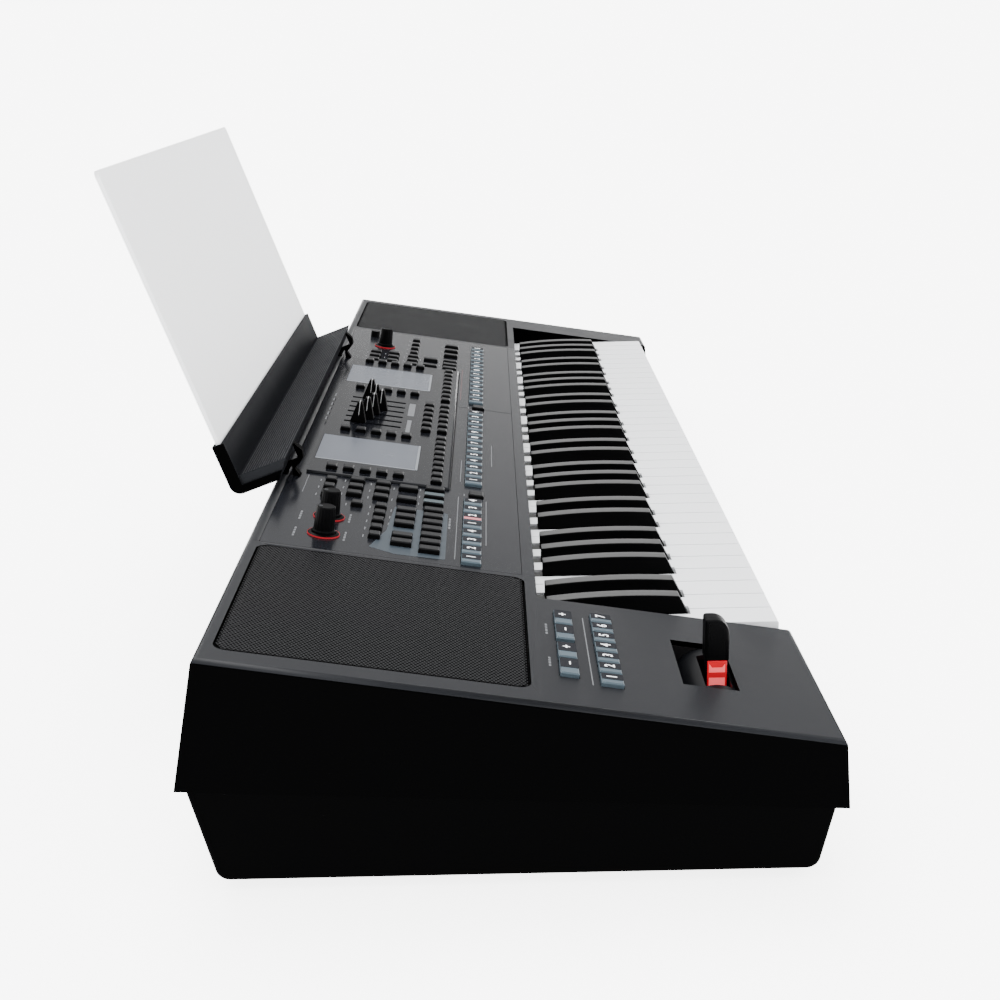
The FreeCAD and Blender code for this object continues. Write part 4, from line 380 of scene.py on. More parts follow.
def perforation_tree() -> Tree:
    """A sheet of six-sided cells, each with a hole through it, on the points of the mesh.

    Returns:
        The tree, with Pitch, Hole and Depth.
    """
    tree = Tree("perforations", dict.fromkeys(("Pitch", "Hole", "Depth"), "Float"))
    cell = tree.node("GeometryNodeMeshCircle", {
        "Vertices": 6, "Radius": tree.times("Pitch", 1.0 / math.sqrt(3.0))}, fill_type="NGON")
    ring = tree.node("GeometryNodeExtrudeMesh", {"Mesh": cell, "Offset Scale": 0.0}, mode="FACES")
    top = ring.outputs["Top"]
    shrink = tree.node("GeometryNodeScaleElements", {
        "Geometry": ring, "Selection": top, "Scale": tree.inputs["Hole"]}, domain="FACE")
    pit = tree.node("GeometryNodeExtrudeMesh", {
        "Mesh": shrink, "Selection": top, "Offset Scale": tree.times("Depth", -1.0)}, mode="FACES")
    through = tree.node("GeometryNodeDeleteGeometry", {
        "Geometry": pit, "Selection": pit.outputs["Top"]}, domain="FACE")
    return tree.close(tree.inputs["Geometry"], through)


def plate_tree() -> Tree:
    """A thin plate with rounded corners on each point of the mesh.

    Returns:
        The tree, with Width, Length, Corner and Thickness.
    """
    sizes = dict.fromkeys(("Width", "Length", "Corner", "Thickness"), "Float")
    tree = Tree("plates", sizes)
    outline = tree.node("GeometryNodeCurvePrimitiveQuadrilateral", {
        "Width": tree.inputs["Width"], "Height": tree.inputs["Length"]})
    corners = tree.node("GeometryNodeFilletCurve", {
        "Count": 3, "Curve": outline, "Radius": tree.inputs["Corner"]}, mode="POLY")
    fill = tree.node("GeometryNodeFillCurve", {"Curve": corners}, mode="NGONS")
    lift = tree.node("GeometryNodeExtrudeMesh", {
        "Mesh": fill, "Offset Scale": tree.inputs["Thickness"]}, mode="FACES")
    return tree.close(tree.inputs["Geometry"], lift)


def rib_tree() -> Tree:
    """Round ribs along X, one behind the other.

    Returns:
        The tree, with Length, Radius, Count and Pitch.
    """
    sizes = {"Length": "Float", "Radius": "Float", "Count": "Int", "Pitch": "Float"}
    tree = Tree("ribs", sizes)
    ends = {label: tree.node("ShaderNodeCombineXYZ", {"X": tree.times("Length", share)})
            for label, share in (("Start", -0.5), ("End", 0.5))}
    line = tree.node("GeometryNodeCurvePrimitiveLine", ends)
    section = tree.node("GeometryNodeCurvePrimitiveCircle", {
        "Resolution": 8, "Radius": tree.inputs["Radius"]})
    rib = tree.node("GeometryNodeCurveToMesh", {
        "Fill Caps": True, "Curve": line, "Profile Curve": section})
    step = tree.node("ShaderNodeCombineXYZ", {"Y": tree.inputs["Pitch"]})
    row = tree.node("GeometryNodeMeshLine", {"Count": tree.inputs["Count"], "Offset": step},
                    mode="OFFSET")
    return tree.close(row, rib)


class Workshop:
    """Makes meshes from trees, CAD nodes and outlines, and puts them in the scene on their bodies.
    """

    flat_width: float = 6.0 * MM

    def __init__(self) -> None:
        """Makes the trees that the sub-assemblies share."""
        self.perforations = perforation_tree()
        self.plates = plate_tree()
        self.ribs = rib_tree()
        self.made: List[str] = []

    def piece(self, name: str, work: Work, finishes: Sequence[Finish], body: str, slot: str,
              nodes: Sequence[str] = (), smooth: float = 35.0) -> None:
        """Puts a working mesh in the scene as a piece of the object, and frees it.

        Args:
            name: the piece's name.
            work: the working mesh, in the row frame.
            finishes: the finishes that its faces point to.
            body: the body that it rides on.
            slot: the record's slot for its finish; not used.
            nodes: CAD nodes that it stands for.
            smooth: the angle in degrees up to which faces shade as one, or 0.
        """
        mesh = bpy.data.meshes.new(name)
        work.to_mesh(mesh)
        work.free()
        for finish in finishes:
            mesh.materials.append(finish.material())
        self._settle(mesh, smooth)
        made = bpy.data.objects.new(name, mesh)
        bpy.context.scene.collection.objects.link(made)
        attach(made, body)
        if nodes:
            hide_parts(*nodes)
        self.made.append(name)
        log.info("%s: %d faces on %s", name, len(mesh.polygons), body)

    def _settle(self, mesh: bpy.types.Mesh, smooth: float) -> None:
        """Shades a mesh smoothly up to an angle, with its wide faces kept flat.

        Args:
            mesh: the mesh.
            smooth: the angle in degrees, or 0 for flat faces.
        """
        if smooth <= 0.0:
            mesh.shade_flat()
            return
        mesh.shade_smooth()
        mesh.set_sharp_from_angle(angle=math.radians(smooth))
        for face in mesh.polygons:
            corners = [mesh.vertices[i].co for i in face.vertices]
            longest = max((a - b).length for a, b in zip(corners, corners[1:] + corners[:1]))
            face.use_smooth = face.area < self.flat_width * longest

    @staticmethod
    def grow(tree: Tree, points: Sequence[Vector], values: Dict[str, object],
             into: Optional[Work] = None) -> Work:
        """Runs a tree on a cloud of points.

        Args:
            tree: the tree.
            points: the points, in the tree's own flat places.
            values: the tree's sizes by name, and its place if it isn't the deck.
            into: the working mesh to add the result to, or nothing for a new one.

        Returns:
            The working mesh in the row frame.
        """
        cloud = bpy.data.meshes.new("cloud")
        cloud.from_pydata([tuple(p) for p in points], [], [])
        holder = bpy.data.objects.new("holder", cloud)
        bpy.context.scene.collection.objects.link(holder)
        modifier = holder.modifiers.new("tree", "NODES")
        modifier.node_group = tree.group
        values = {"Tilt": DECK.tilt, "Place": (0.0, DECK.front_y, DECK.front_z), **values}
        for item in tree.group.interface.items_tree:
            if item.in_out == "INPUT" and item.name in values:
                modifier[item.identifier] = values[item.name]
        depsgraph = bpy.context.evaluated_depsgraph_get()
        grown = bpy.data.meshes.new_from_object(holder.evaluated_get(depsgraph))
        work = into or bmesh.new()
        work.from_mesh(grown)
        bpy.data.objects.remove(holder)
        for mesh in (cloud, grown):
            bpy.data.meshes.remove(mesh)
        return work

    def marks(self, name: str, body: str, slot: str, finish: Finish, places: Sequence[Vector],
              size: Place, corner: float = 0.2 * MM, thick: float = 0.12 * MM) -> None:
        """Lays equal thin plates on the deck as one piece.

        Args:
            name: the piece's name.
            body: the body that it rides on.
            slot: the record's slot.
            finish: the plates' finish.
            places: deck places of their middles, at their undersides.
            size: their width along x and length along v.
            corner: the radius of their corners.
            thick: their thickness.
        """
        sizes = {"Width": size[0], "Length": size[1], "Corner": corner, "Thickness": thick}
        self.piece(name, self.grow(self.plates, places, sizes), [finish], body, slot)

    @staticmethod
    def merged(node: str) -> Work:
        """A copy of a CAD node's mesh, merged by distance, for the caller to free.

        Args:
            node: the node's name.

        Returns:
            The copy.
        """
        copy = bmesh.new()
        copy.from_mesh(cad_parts[node].data)
        bmesh.ops.remove_doubles(copy, verts=copy.verts, dist=MERGE)
        return copy

    def copy_of(self, node: str) -> Work:
        """A merged copy of a CAD node's mesh with its flat faces joined.

        Args:
            node: the node's name.

        Returns:
            The copy, for the caller to free.
        """
        copy = self.merged(node)
        bmesh.ops.dissolve_limit(copy, angle_limit=FLAT_ANGLE, verts=copy.verts, edges=copy.edges)
        return copy

    @staticmethod
    def soften(copy: Work, width: float, pick: Callable[[Edge], bool]) -> None:
        """Rounds the picked sharp edges of a copy.

        Args:
            copy: the mesh.
            width: the width of the rounding.
            pick: says which sharp edges are rounded.
        """
        sharp = [e for e in copy.edges
                 if e.is_manifold and e.calc_face_angle(0.0) > SHARP_ANGLE and pick(e)]
        bmesh.ops.bevel(copy, geom=sharp, offset=width, offset_type="OFFSET", segments=2,
                        profile=0.5, affect="EDGES", clamp_overlap=True)

    @staticmethod
    def dress(node: str, finish: Finish) -> None:
        """Gives a CAD node that stays as it is a finish.

        Args:
            node: the node's name.
            finish: its finish.
        """
        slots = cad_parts[node].data.materials
        slots.clear()
        slots.append(finish.material())
        log.info("%s: dressed with %s", node, finish.name)

    def islands(self, node: str) -> List[Island]:
        """The deck boxes of a node's separate solids, in order along x and then v.

        Args:
            node: the node's name.

        Returns:
            The boxes.
        """
        copy = self.merged(node)
        to_flat = DECK.matrix().inverted()
        seen = set()
        boxes = []
        for start in copy.verts:
            if start in seen:
                continue
            seen.add(start)
            stack, low, high = [start], Vector((FAR,) * 3), Vector((-FAR,) * 3)
            while stack:
                vert = stack.pop()
                at = to_flat @ vert.co
                low = Vector(map(min, low, at))
                high = Vector(map(max, high, at))
                for edge in vert.link_edges:
                    other = edge.other_vert(vert)
                    if other not in seen:
                        seen.add(other)
                        stack.append(other)
            boxes.append(Island(low, high))
        copy.free()
        return sorted(boxes, key=lambda b: (round(b.low.x, 4), b.low.y))


@dataclass
class Assembly:
    """A sub-assembly: the pieces that it builds and the CAD nodes that it dresses."""

    shop: Workshop
    finishes: ClassVar[Dict[str, Finish]] = {}

    def build(self) -> None:
        """Makes its own pieces, where it has any."""

    def dress(self) -> None:
        """Gives the CAD nodes that stay as they are their finishes."""
        for node, finish in self.finishes.items():
            self.shop.dress(node, finish)


@dataclass
class Casing(Assembly):
    """Lower case, upper case, feet and screws."""

    panel_span: Place = (-0.3425, 0.3485)
    strip: Place = (0.1436, 0.1517)
    edge: float = 0.8 * MM
    shortest: float = 20.0 * MM
    side_drop: float = 6.0 * MM
    facing_up: float = 0.3
    finishes = {"rubber_feet": FOOT, "case_screws": STEEL}

    def build(self) -> None:
        """Makes the two shells."""
        self._upper()
        copy = self.shop.copy_of("lower_case")
        self.shop.soften(copy, self.edge, lambda e: e.calc_length() > self.shortest)
        # The lower case is black plastic, here also in painted shade: black without reflection.
        self.shop.piece("lower_shell", copy, [BLACK_AND_SHADE], CASE_BODY, "case_black", ["lower_case"])

    def _upper(self) -> None:
        """Makes the top shell: grey above, with painted shade at its sides in black without
        reflection, the panel's grey in front of it.
        """
        copy = self.shop.copy_of("upper_case")
        for x in self.panel_span:
            bmesh.ops.bisect_plane(copy, geom=copy.verts[:] + copy.edges[:] + copy.faces[:],
                                   dist=1e-6, plane_co=(x, 0.0, 0.0), plane_no=(1.0, 0.0, 0.0))
        for face in copy.faces:
            at = DECK.flat(face.calc_center_median())
            # Faces that turn from the deck or drop below its top get painted shade (index 1).
            above = face.normal.dot(DECK.up()) > self.facing_up and at.z > -self.side_drop
            face.material_index = 0 if above else 1
            inside = self.panel_span[0] < at.x < self.panel_span[1]
            if above and inside and self.strip[0] < at.y < self.strip[1]:
                face.material_index = 2
        self.shop.piece("upper_shell", copy, [CASE_TOP, BLACK_AND_SHADE, PANEL], CASE_BODY, "case_grey",
                        ["upper_case"], smooth=40.0)


@dataclass
class SpeakerGrilles(Assembly):
    """Two perforated sheets over black cloth, with the speakers under them."""

    pitch: float = 2.06 * MM
    hole: float = 0.68
    depth: float = 0.7 * MM
    margin: float = 0.56
    facing_up: float = 0.99
    finishes = {"speaker_frames": FRAME_BLACK, "speaker_cones": CONE_PAPER}

    def build(self) -> None:
        """Makes the sheet and the cloth of each side."""
        for side, outline in zip(("left", "right"), self._outlines()):
            self._sheet(side, outline)
            self._cloth(side, outline)

    def _outlines(self) -> List[List[Vector]]:
        """The outline of each grille's top, from the left, in deck places.

        Returns:
            The corners of each outline.
        """
        copy = self.shop.copy_of("speaker_grilles")
        tops = [f for f in copy.faces if f.normal.dot(DECK.up()) > self.facing_up]
        widest = sorted(tops, key=lambda f: -f.calc_area())[:2]
        outlines = [[DECK.flat(v.co) for v in f.verts] for f in widest]
        copy.free()
        return sorted(outlines, key=lambda o: o[0].x)

    @staticmethod
    def _room(at: Vector, outline: Sequence[Vector]) -> float:
        """How far a place is inside an outline: negative outside it.

        Args:
            at: the place.
            outline: the outline's corners.

        Returns:
            The distance to the nearest side.
        """
        inside, nearest = False, FAR
        for a, b in zip(outline, list(outline[1:]) + [outline[0]]):
            if (a.y > at.y) != (b.y > at.y):
                if at.x < a.x + (b.x - a.x) * (at.y - a.y) / (b.y - a.y):
                    inside = not inside
            along = Vector((b.x - a.x, b.y - a.y))
            offset = Vector((at.x - a.x, at.y - a.y))
            share = offset.dot(along) / max(along.length_squared, 1e-12)
            nearest = min(nearest, (offset - max(0.0, min(1.0, share)) * along).length)
        return nearest if inside else -nearest

    def _sheet(self, side: str, outline: Sequence[Vector]) -> None:
        """Makes the perforated sheet of one side.

        Args:
            side: the side's name.
            outline: the corners of the grille.
        """
        low = Vector((min(p.x for p in outline), min(p.y for p in outline)))
        high = Vector((max(p.x for p in outline), max(p.y for p in outline)))
        step = self.pitch * math.sqrt(3.0) / 2.0
        points = []
        for column in range(int((high.x - low.x) / step) + 1):
            x = low.x + column * step
            shift = 0.5 * self.pitch * (column % 2)
            for row in range(int((high.y - low.y) / self.pitch) + 1):
                at = Vector((x, low.y + row * self.pitch + shift, outline[0].z))
                if self._room(at, outline) > self.margin * self.pitch:
                    points.append(at)
        sizes = {"Pitch": self.pitch, "Hole": self.hole, "Depth": self.depth}
        sheet = self.shop.grow(self.shop.perforations, points, sizes)
        self.shop.piece("grille_sheet_" + side, sheet, [GRILLE], CASE_BODY, "grille_metal",
                        ["speaker_grilles"], smooth=0.0)

    def _cloth(self, side: str, outline: Sequence[Vector]) -> None:
        """Lays the black cloth of one side under its sheet.

        Args:
            side: the side's name.
            outline: the corners of the grille.
        """
        work = bmesh.new()
        drop = Vector((0.0, 0.0, self.depth))
        work.faces.new([work.verts.new(DECK.matrix() @ (p - drop)) for p in outline])
        self.shop.piece("grille_cloth_" + side, work, [GRILLE_BACK], CASE_BODY, "grille_metal",
                        ["speaker_grilles"])


@dataclass
class ControlPanel(Assembly):
    """The panel, the raised display panel, the displays and their print; sizes in millimetres."""

    display_rise: float = 2.0
    edge_slope: float = 1.5
    seam: Place = (0.5, 0.8)
    print_thick: float = 0.06
    print_corner: float = 0.2
    patch: Tuple[Place, ...] = ((-241.0, 231.0), (-291.3, 233.4), (-326.8, 241.7),
                                (-334.4, 226.0), (-333.4, 196.5), (-241.9, 197.0))
    patch_corner: float = 1.5
    thin_lines: Tuple[Bar, ...] = (
        (-265.0, 191.0, 130.0, 0.5), (-250.0, 172.5, 94.0, 0.5), (-135.0, 190.4, 56.0, 0.5),
        (-83.0, 168.6, 60.0, 0.5), (-447.4, 119.8, 92.0, 0.6), (-214.0, 291.0, 40.0, 0.5))
    rose_line: Bar = (150.0, 194.5, 124.0, 0.7)
    cross_seam: Bar = (62.0, 174.0, 0.6, 44.0)
    legends: Tuple[Point, ...] = (
        (-424.5, 140.4, 15.0), (-469.6, 140.3, 12.0), (-316.0, 286.5, 17.0),
        (-283.0, 286.5, 17.0), (-314.0, 256.8, 17.0), (-278.0, 256.8, 17.0),
        (-300.0, 177.0, 18.0), (-262.0, 195.5, 22.0))
    slider_names: Tuple[Point, ...] = tuple(
        (x, 294.8, 9.0) for x in (-42.0, -26.0, -10.0, 6.0, 22.0, 38.0))
    slider_legend: Tuple[Bar, ...] = ((20.0, 232.6, 42.0, 5.0), (-36.0, 232.6, 42.0, 3.2))
    dash_shares: Tuple[float, ...] = (0.2, 0.26, 0.16, 0.2)
    dash_gap: float = 0.06
    dash_height: float = 1.2
    display_edge: float = 1.6
    finishes = {"control_panel": PANEL, "display_windows": LCD, "display_modules": LCD}

    def build(self) -> None:
        """Makes the display panel, and lays the print and the displays' edges."""
        self._display_panel()
        self._bars("printed_lines", PRINT_GREY, self.thin_lines)
        self._bars("rose_line", PRINT_ROSE, [self.rose_line])
        self._bars("cross_seam", PRINT_DARK, [self.cross_seam])
        self._bars("panel_legends", PRINT_GREY, self._dashes(self.legends))
        self._bars("slider_names", PRINT_GREY, self._dashes(self.slider_names),
                   self.display_rise * MM)
        self._patch()
        self._bars("slider_legend", PRINT_GREY, self.slider_legend, self.display_rise * MM)
        self._displays()

    def _display_panel(self) -> None:
        """Makes the raised panel with its edges sloped off at the front and at the ends."""
        box = self.shop.islands("display_panel")[0]
        low, high, slope = box.low, box.high, self.edge_slope * MM

        def outer(edge: Edge) -> bool:
            """Whether an edge runs along the front or an end of the panel's top."""
            at = [DECK.flat(v.co) for v in edge.verts]
            near = min(max(abs(p.x - low.x) for p in at), max(abs(p.x - high.x) for p in at),
                       max(abs(p.y - low.y) for p in at))
            return min(p.z for p in at) > high.z - slope / 4 and near < slope

        copy = self.shop.copy_of("display_panel")
        self.shop.soften(copy, slope, outer)
        self.shop.piece("display_skin", copy, [DISPLAY_TOP], CASE_BODY, "display_grey",
                        ["display_panel"])
        front = (box.middle().x / MM, low.y / MM - self.seam[0], box.size().x / MM, self.seam[1])
        self._bars("display_seam", PRINT_DARK, [front])

    def _bars(self, name: str, finish: Finish, bars: Sequence[Bar], h: float = 0.0) -> None:
        """Lays flat bars as one piece.

        Args:
            name: the piece's name.
            finish: the bars' finish.
            bars: the middle and the size of each, in millimetres.
            h: their height above the deck.
        """
        work = bmesh.new()
        for x, v, width, length in bars:
            sizes = {"Width": width * MM, "Length": length * MM,
                     "Corner": self.print_corner * min(width, length) * MM,
                     "Thickness": self.print_thick * MM}
            self.shop.grow(self.shop.plates, [Vector((x * MM, v * MM, h))], sizes, work)
        self.shop.piece(name, work, [finish], CASE_BODY, "panel_grey")

    def _dashes(self, words: Sequence[Point]) -> List[Bar]:
        """Rows of short dashes along x in place of words.

        Args:
            words: each row's middle, its place up the slope and its length.

        Returns:
            The bars.
        """
        bars = []
        for x, v, length in words:
            at = x - length / 2.0
            for share in self.dash_shares:
                bars.append((at + 0.5 * share * length, v, share * length, self.dash_height))
                at += (share + self.dash_gap) * length
        return bars

    def _patch(self) -> None:
        """Prints the light patch round the left rows."""
        work = bmesh.new()
        corners = [Vector((x, v, self.print_thick)) * MM for x, v in self.patch]
        face = work.faces.new([work.verts.new(DECK.matrix() @ c) for c in corners])
        face.normal_update()
        if face.normal.z < 0.0:
            face.normal_flip()
        bmesh.ops.bevel(work, geom=work.verts[:], offset=self.patch_corner * MM,
                        offset_type="OFFSET", segments=4, profile=0.5, affect="VERTICES")
        self.shop.piece("printed_patch", work, [PRINT_BLUE], CASE_BODY, "panel_grey")

    def _displays(self) -> None:
        """Lays the pale edge of each display."""
        edges = []
        wide = self.display_edge
        boxes = self.shop.islands("display_windows")
        for box in boxes:
            low, middle, size = box.low / MM, box.middle() / MM, box.size() / MM
            edges.append((middle.x, low.y + wide / 2.0, size.x, wide))
            edges.append((low.x + wide / 2.0, middle.y, wide, size.y))
        self._bars("display_edges", LCD_EDGE, edges, boxes[-1].high.z)


NUMBER_GROUPS = ("registration_buttons", "octave_buttons", "number_buttons_left",
                 "number_buttons_middle", "number_buttons_right")
PANEL_GROUPS = ("left_function_buttons", "right_function_buttons")
BLACK_GROUPS = PANEL_GROUPS + ("display_buttons", "power_button")


@dataclass
class Buttons(Assembly):
    """All push buttons with their labels and numerals."""

    label_share: Place = (0.6, 0.8)
    label_shift: float = 0.15
    label_corner: float = 0.8 * MM
    legend_gap: float = 2.0 * MM
    legend_size: Place = (5.0 * MM, 0.7 * MM)
    legend_corner: float = 0.15 * MM
    legend_thick: float = 0.05 * MM
    digit: float = 5.4 * MM
    digit_scale: float = 1.35
    digit_rise: float = 0.13 * MM
    weight: float = 0.028
    facing_up: float = 0.5
    lit_cap: int = 5
    lit_shift: float = -0.33
    lit_share: Place = (0.3, 0.78)
    lit_corner: float = 0.2 * MM
    pale_places: Tuple[Place, ...] = ((-0.2120, 0.2072), (-0.2280, 0.2077))
    pale_share: Place = (0.8, 0.86)
    finishes = {
        **dict.fromkeys(NUMBER_GROUPS, CAP_SLATE), "button_switches": COMPONENT,
        "knob_pots": COMPONENT, "slider_pots": COMPONENT, "panel_board": BOARD}

    def build(self) -> None:
        """Makes the black caps, and the labels, numerals and lit tops of the others."""
        for group in BLACK_GROUPS:
            self._black_caps(group)
        for group in NUMBER_GROUPS:
            caps = self.shop.islands(group)
            self._tops(group + "_labels", group, "button_black", CAP_LABEL, caps,
                       self.label_share, self.label_shift, self.label_corner)
            self._digits(group, caps)
        lit = self.shop.islands("number_buttons_left")[self.lit_cap]
        self._tops("lit_mark", "number_buttons_left", "lit_red", CAP_LIT, [lit],
                   self.lit_share, self.lit_shift, self.lit_corner)
        caps = self.shop.islands("left_function_buttons")
        pale = [min(caps, key=lambda b: (b.middle().xy - Vector(at)).length)
                for at in self.pale_places]
        self._tops("pale_tops", "left_function_buttons", "button_slate", CAP_PALE, pale,
                   self.pale_share, 0.0, self.label_corner)
        self._legends()

    def _black_caps(self, group: str) -> None:
        """Makes a group's caps, black at the sides and with painted highlight on top, which is a
        little lighter.

        Args:
            group: the group's node.
        """
        copy = self.shop.copy_of(group)
        for face in copy.faces:
            # Tops take the painted highlight, the sides deep black.
            face.material_index = 0 if face.normal.dot(DECK.up()) > self.facing_up else 1
        self.shop.piece(group + "_caps", copy, [CAP_TOP_HIGHLIGHT, DEEP_BLACK], group, "button_black",
                        [group])

    def _tops(self, name: str, body: str, slot: str, finish: Finish,
              caps: Sequence[Island], share: Place, shift: float, corner: float) -> None:
        """Lays an equal thin plate on each of some caps.

        Args:
            name: the piece's name.
            body: the caps' body.
            slot: the record's slot.
            finish: the plates' finish.
            caps: the caps.
            share: the plates' share of the last cap's width and length.
            shift: how far they are moved along x, as a share of each cap's width.
            corner: the radius of their corners.
        """
        places = [c.middle() + Vector((shift * c.size().x, 0.0, 0.0)) for c in caps]
        size = (share[0] * caps[-1].size().x, share[1] * caps[-1].size().y)
        self.shop.marks(name, body, slot, finish, places, size, corner)

    def _legends(self) -> None:
        """Prints a plain stroke behind each black button of the panel, for its legend."""
        for group in PANEL_GROUPS:
            places = [Vector((c.middle().x, c.high.y + self.legend_gap, 0.0))
                      for c in self.shop.islands(group)]
            self.shop.marks(group + "_legends", CASE_BODY, "panel_grey", PRINT_GREY, places,
                            self.legend_size, self.legend_corner, self.legend_thick)

    def _digits(self, group: str, caps: Sequence[Island]) -> None:
        """Stands the numerals, or the signs of the octave buttons, on the labels.

        Args:
            group: the group's node.
            caps: the group's caps.
        """
        count = 4 if group == "number_buttons_left" else 9
        work = bmesh.new()
        for i, cap in enumerate(caps):
            text = "\u2013+"[i % 2] if group == "octave_buttons" else str(i % count + 1)
            shift = Vector((self.label_shift * cap.size().x, 0.0, self.digit_rise))
            glyph = self._glyph(text)
            glyph.transform(DECK.matrix() @ Matrix.Translation(cap.middle() + shift))
            work.from_mesh(glyph)
            bpy.data.meshes.remove(glyph)
        self.shop.piece(group + "_digits", work, [PRINT_WHITE], group, "key_white")

    def _glyph(self, text: str) -> bpy.types.Mesh:
        """A numeral as a flat mesh round the origin.

        Args:
            text: the numeral or sign.

        Returns:
            The mesh.
        """
        curve = bpy.data.curves.new("glyph", "FONT")
        curve.body = text
        curve.size = self.digit * self.digit_scale
        curve.offset = self.weight * self.digit
        curve.align_x = "CENTER"
        curve.align_y = "CENTER"
        curve.resolution_u = 3
        holder = bpy.data.objects.new("glyph", curve)
        bpy.context.scene.collection.objects.link(holder)
        depsgraph = bpy.context.evaluated_depsgraph_get()
        mesh = bpy.data.meshes.new_from_object(holder.evaluated_get(depsgraph))
        bpy.data.objects.remove(holder)
        bpy.data.curves.remove(curve)
        return mesh


@dataclass
class Knobs(Assembly):
    """Three fluted knobs over black skirts with lit rims; sizes in millimetres."""

    count: int = 3
    profile: Tuple[Place, ...] = ((7.0, 0.6), (7.0, 2.6), (6.3, 3.4), (5.75, 15.8), (5.5, 17.0),
                                  (4.9, 17.5), (4.4, 17.3))
    skirt: Tuple[Place, ...] = ((7.6, 0.1), (7.6, 1.5), (9.0, 1.1), (9.35, 0.9), (9.35, 0.1))
    rim: Tuple[Place, ...] = ((9.4, 0.1), (9.4, 0.85), (9.55, 0.95), (9.7, 0.7), (9.7, 0.1))
    segments: int = 120
    ring_segments: int = 60
    flutes: int = 20
    flute_depth: float = 0.035
    grip: Place = (3.0, 16.5)
    mark_out: float = 3.4
    mark_size: Place = (0.6, 2.2)

    def build(self) -> None:
        """Makes each knob round its own axis."""
        for i in range(self.count):
            node = "knob_%d" % (i + 1)
            middle = self.shop.islands(node)[0].middle()
            middle.z = 0.0
            knob = self._turned(self.profile, middle, self.segments, False)
            self.shop.piece(node + "_cap", knob, [DEEP_BLACK], node, "button_black", [node],
                            smooth=28.0)
            mark = middle + Vector((0.0, self.mark_out, self.profile[-1][1])) * MM
            self.shop.marks(node + "_mark", node, "key_white", PRINT_GREY, [mark],
                            (self.mark_size[0] * MM, self.mark_size[1] * MM))
            for part, profile, finish, slot in (("skirt", self.skirt, DEEP_BLACK, "button_black"),
                                                ("rim", self.rim, RED_RING, "lit_red")):
                ring = self._turned(profile, middle, self.ring_segments, True)
                self.shop.piece(node + "_" + part, ring, [finish], CASE_BODY, slot, ["knob_rings"],
                                smooth=50.0)

    def _turned(self, profile: Sequence[Place], middle: Vector, segments: int,
                closed: bool) -> Work:
        """Turns a profile round an axis of the deck, with flutes where the grip is.

        Args:
            profile: radius and height of each corner.
            middle: the axis's deck place.
            segments: the facets round it.
            closed: whether the profile is a ring's, or ends at two flat faces.

        Returns:
            The working mesh in the row frame.
        """
        work = bmesh.new()
        rings = []
        for r, h in profile:
            depth = self.flute_depth if self.grip[0] < h < self.grip[1] else 0.0
            ring = []
            for k in range(segments):
                angle = math.tau * k / segments
                radius = r * (1.0 - depth * (0.5 - 0.5 * math.cos(self.flutes * angle)))
                at = Vector((radius * math.cos(angle), radius * math.sin(angle), h)) * MM
                ring.append(work.verts.new(DECK.matrix() @ (middle + at)))
            rings.append(ring)
        for a, b in zip(rings, rings[1:] + (rings[:1] if closed else [])):
            for k in range(segments):
                j = (k + 1) % segments
                work.faces.new((a[k], a[j], b[j], b[k]))
        if not closed:
            work.faces.new(rings[-1])
            work.faces.new(rings[0][::-1])
        bmesh.ops.recalc_face_normals(work, faces=work.faces)
        return work


@dataclass
class Sliders(Assembly):
    """Six slider caps with a white line over the middle of each."""

    count: int = 6
    edge: float = 0.35 * MM
    edge_above: float = 2.6 * MM
    line: float = 0.5 * MM
    line_rise: float = 0.06 * MM
    line_foot: float = 8.0 * MM

    def build(self) -> None:
        """Makes the softened caps and their lines."""
        for i in range(self.count):
            node = "slider_%d" % (i + 1)
            copy = self.shop.copy_of(node)
            self.shop.soften(copy, self.edge,
                             lambda e: DECK.flat(e.verts[0].co).z > self.edge_above)
            self.shop.piece(node + "_cap", copy, [DEEP_BLACK], node, "button_black", [node])
            self._line(node, self.shop.islands(node)[0])

    def _line(self, node: str, cap: Island) -> None:
        """Runs the white line up one side of a cap, over its top and down the other.

        Args:
            node: the cap's node.
            cap: its box.
        """
        x0, x1 = cap.low.x - self.line_rise, cap.high.x + self.line_rise
        foot, top = self.line_foot, cap.high.z + self.line_rise
        path = [(x0, foot), (x0, top), (x1, top), (x1, foot)]
        work = bmesh.new()
        sides = []
        for shift in (-0.5, 0.5):
            v = cap.middle().y + shift * self.line
            sides.append([work.verts.new(DECK.matrix() @ Vector((x, v, h))) for x, h in path])
        for k in range(len(path) - 1):
            work.faces.new((sides[0][k], sides[0][k + 1], sides[1][k + 1], sides[1][k]))
        bmesh.ops.recalc_face_normals(work, faces=work.faces)
        self.shop.piece(node + "_line", work, [PRINT_SOFT], node, "key_white")


